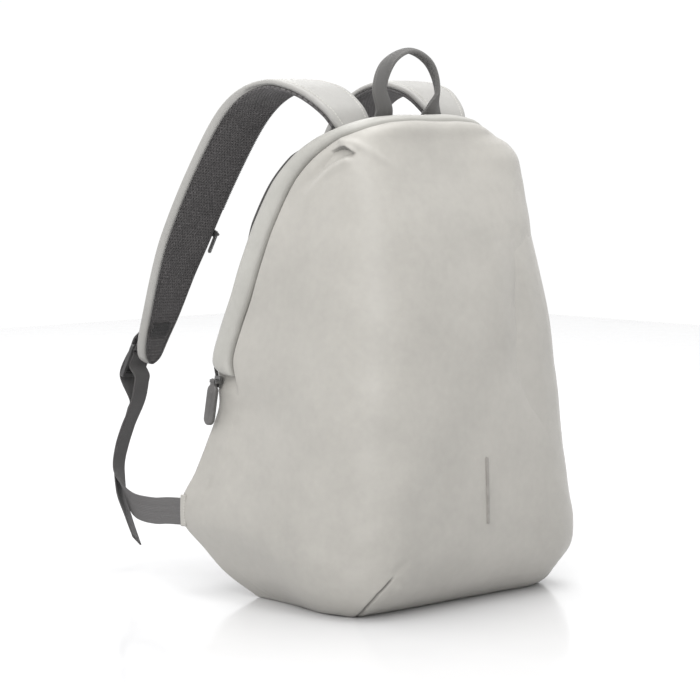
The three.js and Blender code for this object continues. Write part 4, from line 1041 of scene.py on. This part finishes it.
# Dark piping where the back panel meets the rim, further in beside the upper part of the panel

PIPING_RADIUS, PIPING_INSET, PIPING_STAND = 1.5, 4.8, 1.9


def make_piping():
    shares = np.linspace(share_at_height(PANEL["foot"] + 14), 1, 220)
    heights = outline(shares, 0)[:, 2]
    inset = PIPING_INSET - 3.4 * ease(318, 342, heights) * (1 - ease(398, 410, heights))
    left = np.vstack([outline(share[None], gap) for share, gap in zip(shares, inset)]) * [-1, 1, 1]
    line = np.column_stack([left[:, 0], back_at(left[:, 2]) + PIPING_STAND, left[:, 2]])
    line = np.vstack([line, mirrored(line[:-1][::-1], -1)])
    turn = np.linspace(0, 2 * math.pi, 12, endpoint=False)
    section = PIPING_RADIUS * np.column_stack([np.cos(turn), np.sin(turn)])
    rings = sweep(frames_of(line, np.tile([0.0, 1.0, 0.0], (len(line), 1))), section)
    tube("rim_piping", rings, turn * PIPING_RADIUS, way_along(line), PIPING)


# A folded tab of cloth over the end of each webbing, with a row of thread

TAB = dict(width=6.4, thickness=1.1, foot=61.5, length=29.0, x=-155.7, y=135.6, bulge=0.5)
TAB_ACROSS = np.array([0.17, -0.985, 0.0])


def make_tab(side, word):
    count = 24
    z = np.linspace(TAB["foot"], TAB["foot"] + TAB["length"], count)
    bulge = 0.2 + TAB["bulge"] * np.sin(np.pi * (z - TAB["foot"]) / TAB["length"])
    points = np.column_stack([TAB["x"] - bulge, np.full(count, TAB["y"]), z])
    section = flat_section(TAB["width"], TAB["thickness"])
    rings = mirrored(sweep(frames_of(points, np.tile(TAB_ACROSS, (count, 1))), section), side)
    tube(f"webbing_tab_{word}", rings, section[:, 0], z, TAB_CLOTH)
    row = points[2:-2] + TAB_ACROSS * 2.2 - [0.9, 0, 0]
    out = np.tile([-side * 0.985, -0.17, 0.0], (len(row), 1))
    stitch_line(f"tab_stitches_{word}", mirrored(row, side), out, THREAD, pitch=2.6,
                length=1.7, radius=0.3)


# Hard pieces: the solids with softened edges

def softened(node, name, material, body, width):
    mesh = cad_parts[node].data.copy()
    mesh.name = name
    work = bmesh.new()
    work.from_mesh(mesh)
    bmesh.ops.remove_doubles(work, verts=work.verts, dist=1e-6)
    bmesh.ops.dissolve_limit(work, angle_limit=math.radians(3), verts=work.verts, edges=work.edges)
    sharp = [edge for edge in work.edges if edge.is_manifold and edge.calc_face_angle(0) > math.radians(28)]
    bmesh.ops.bevel(work, geom=sharp, offset=width, segments=2, profile=0.6, affect="EDGES",
                    clamp_overlap=True)
    bmesh.ops.triangulate(work, faces=[face for face in work.faces if len(face.verts) > 4])
    work.to_mesh(mesh)
    work.free()
    mesh.materials.clear()
    mesh.materials.append(material)
    mesh.polygons.foreach_set("use_smooth", [True] * len(mesh.polygons))
    mesh.set_sharp_from_angle(angle=math.radians(50))
    piece = placed(name, mesh)
    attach(piece, body)
    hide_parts(node)


# The reflective strip on the front

# Its section: across as a share of half its width, how far it stands out, and its uv
STRIP_SECTION = (
    (-1, -0.6, 0), (-1, 0.95, 0.5), (-0.8, 1.1, 0.7), (0.8, 1.1, 3), (1, 0.95, 3.2), (1, -0.6, 3.7))


def front_surface(x, z):
    """Where the front lies at a place near its middle."""
    edge = np.where(z < MIDDLE_Z, -BASE_TUCK, HEIGHT)
    wanted = np.maximum(np.abs((z - MIDDLE_Z) / (edge - MIDDLE_Z)), np.abs(x) / HALF)
    crown, side = crown_of(z / HEIGHT), side_of(z / HEIGHT)
    depth = np.maximum(0, 1 - wanted**crown) ** (1 / side)
    return back_at(z) + (front_at(z) - back_at(z)) * depth


def make_strip():
    shares = np.linspace(0, 1, 40)
    z = STRIP["foot"] + STRIP["length"] * shares
    middle = STRIP["aside"] - STRIP["slant"] * shares
    rings = []
    for across, lift, _ in STRIP_SECTION:
        x = middle + across * STRIP["width"] / 2
        rings.append(np.column_stack([x, front_surface(x, z) - lift, z]))
    uv = [place for _, _, place in STRIP_SECTION]
    tube("reflective_strip_fine", np.array(rings).transpose(1, 0, 2), uv, z, FILM,
         ("reflective_strip",))


# Stitches: short rounded bars along a line

# A bar's rings: share of its length from the middle, share of its radius; and the sides of each ring
BAR_RINGS, BAR_SIDES = ((-0.5, 0.35), (-0.25, 0.95), (0.25, 0.95), (0.5, 0.35)), 6


def stitch_line(name, points, normals, material, pitch, length, radius):
    way = way_along(points)
    count = max(2, int(way[-1] / pitch))
    middles = (np.arange(count) + 0.5) / count * way[-1]

    def at(places, values):
        return np.column_stack([np.interp(places, way, values[:, k]) for k in range(3)])

    place = at(middles, points)
    along = at(middles + 0.5, points) - at(middles - 0.5, points)
    along /= np.maximum(np.linalg.norm(along, axis=1), 1e-9)[:, None]
    out = at(middles, normals)
    out -= along * (out * along).sum(1)[:, None]
    out /= np.linalg.norm(out, axis=1)[:, None]
    wide = np.cross(along, out)
    rings = len(BAR_RINGS)
    verts, faces = [], []
    for i in range(count):
        faces += [tuple(len(verts) + corner for corner in face) for face in capped_faces(rings, BAR_SIDES)]
        for share, size in BAR_RINGS:
            centre = place[i] + along[i] * share * length + out[i] * radius * 0.35
            for t in range(BAR_SIDES):
                angle = t * 2 * math.pi / BAR_SIDES
                verts.append(centre + (wide[i] * math.cos(angle) + out[i] * math.sin(angle)) * radius * size)
    verts = np.array(verts)
    make(name, verts, faces, point_uv(verts[:, [0, 2]]), material)


def make_stitches():
    frames = strap_frames(300)
    width = strap_width_at(frames["share"]) / 2
    used = (frames["share"] > 0.02) & (frames["share"] < 0.94)
    for side, word in SIDES:
        for edge, place in ((-1, "inner"), (1, "outer")):
            line = (frames["at"] + frames["across"] * (edge * (width - 6))[:, None]
                    + frames["over"] * (STRAP_HIGH + 0.05))[used]
            stitch_line(f"cover_stitches_{word}_{place}", mirrored(line, side),
                        mirrored(frames["over"][used], side), THREAD, pitch=3.4, length=2.3,
                        radius=0.28)

    # The zip's teeth along the left strap's inner edge, down to its slider
    used = (frames["share"] > 0.36) & (frames["share"] < 0.672)
    line = (frames["at"] - frames["across"] * (width + 0.15)[:, None] - frames["over"] * 2.4)[used]
    stitch_line("strap_zip_teeth", line, -frames["across"][used], DARK_THREAD, pitch=1.7,
                length=1.1, radius=0.75)


make_shell()
make_band()
make_panel()
make_handle()
for side, word in SIDES:
    make_strap(side, word)
    make_webbing(side, word)
    softened(f"ladder_buckle_{word}", f"ladder_buckle_moulded_{word}", PLASTIC, "bag", 0.0007)
    make_tab(side, word)
make_patch()
make_piping()
make_strip()
make_stitches()
softened("main_zip_slider", "main_slider_cast", METAL, "bag", 0.0004)
softened("strap_zip_slider", "strap_slider_cast", METAL, "bag", 0.00025)
softened("main_zip_pull", "main_pull_moulded", RUBBER, "main_pull", 0.0005)
softened("strap_zip_pull", "strap_pull_cast", METAL, "strap_pull", 0.0002)


# Floor, camera and light, in metres

FLOOR_HALF, FLOOR_DROP = 2.6, 0.0004


def make_floor():
    mesh = bpy.data.meshes.new("floor")
    corners = [(x * FLOOR_HALF, y * FLOOR_HALF, 0) for x, y in ((-1, -1), (1, -1), (1, 1), (-1, 1))]
    mesh.from_pydata(corners, [], [(0, 1, 2, 3)])
    floor = placed("floor", mesh)
    floor.location.z = -FLOOR_DROP
    paint = Finish("floor_paint", (0.66, 0.66, 0.667), 0.1, specular=0.5)
    paint.feed(paint.shader["Roughness"], paint.ranged(paint.noise(8, 2.0), -0.3, 4.7))
    mesh.materials.append(paint.material)


def aim(item, target):
    item.rotation_euler = (Vector(target) - item.location).to_track_quat("-Z", "Y").to_euler()


def make_camera():
    data = bpy.data.cameras.new("camera")
    data.sensor_width = 36.0
    data.lens = 125.58
    data.clip_start, data.clip_end = 0.05, 40.0
    camera = placed("camera", data)
    camera.location = metres([-1560.8, -1577.3, 424.5])
    aim(camera, metres([-85.2, -11.4, 228.7]))
    bpy.context.scene.camera = camera


def make_light(name, place, target_height, size, power):
    data = bpy.data.lights.new(name, "AREA")
    data.shape = "RECTANGLE"
    data.size, data.size_y = size
    data.energy = power
    lamp = placed(name, data)
    lamp.location = place
    aim(lamp, (0, 0, target_height))


def make_world():
    world = bpy.data.worlds.new("studio")
    world.use_nodes = True
    background = world.node_tree.nodes["Background"].inputs
    background[0].default_value = (1, 1, 1, 1)
    background[1].default_value = 1.02
    bpy.context.scene.world = world


make_floor()
make_camera()
make_world()
make_light("key", (-2.3, -1.5, 2.0), 0.2, (2.0, 2.0), 54)
make_light("top", (0.1, 0.1, 2.8), 0.2, (2.4, 2.4), 60)
make_light("rear", (1.2, 2.2, 1.8), 0.25, (1.6, 1.2), 12)
bpy.context.scene.view_settings.view_transform = "Standard"
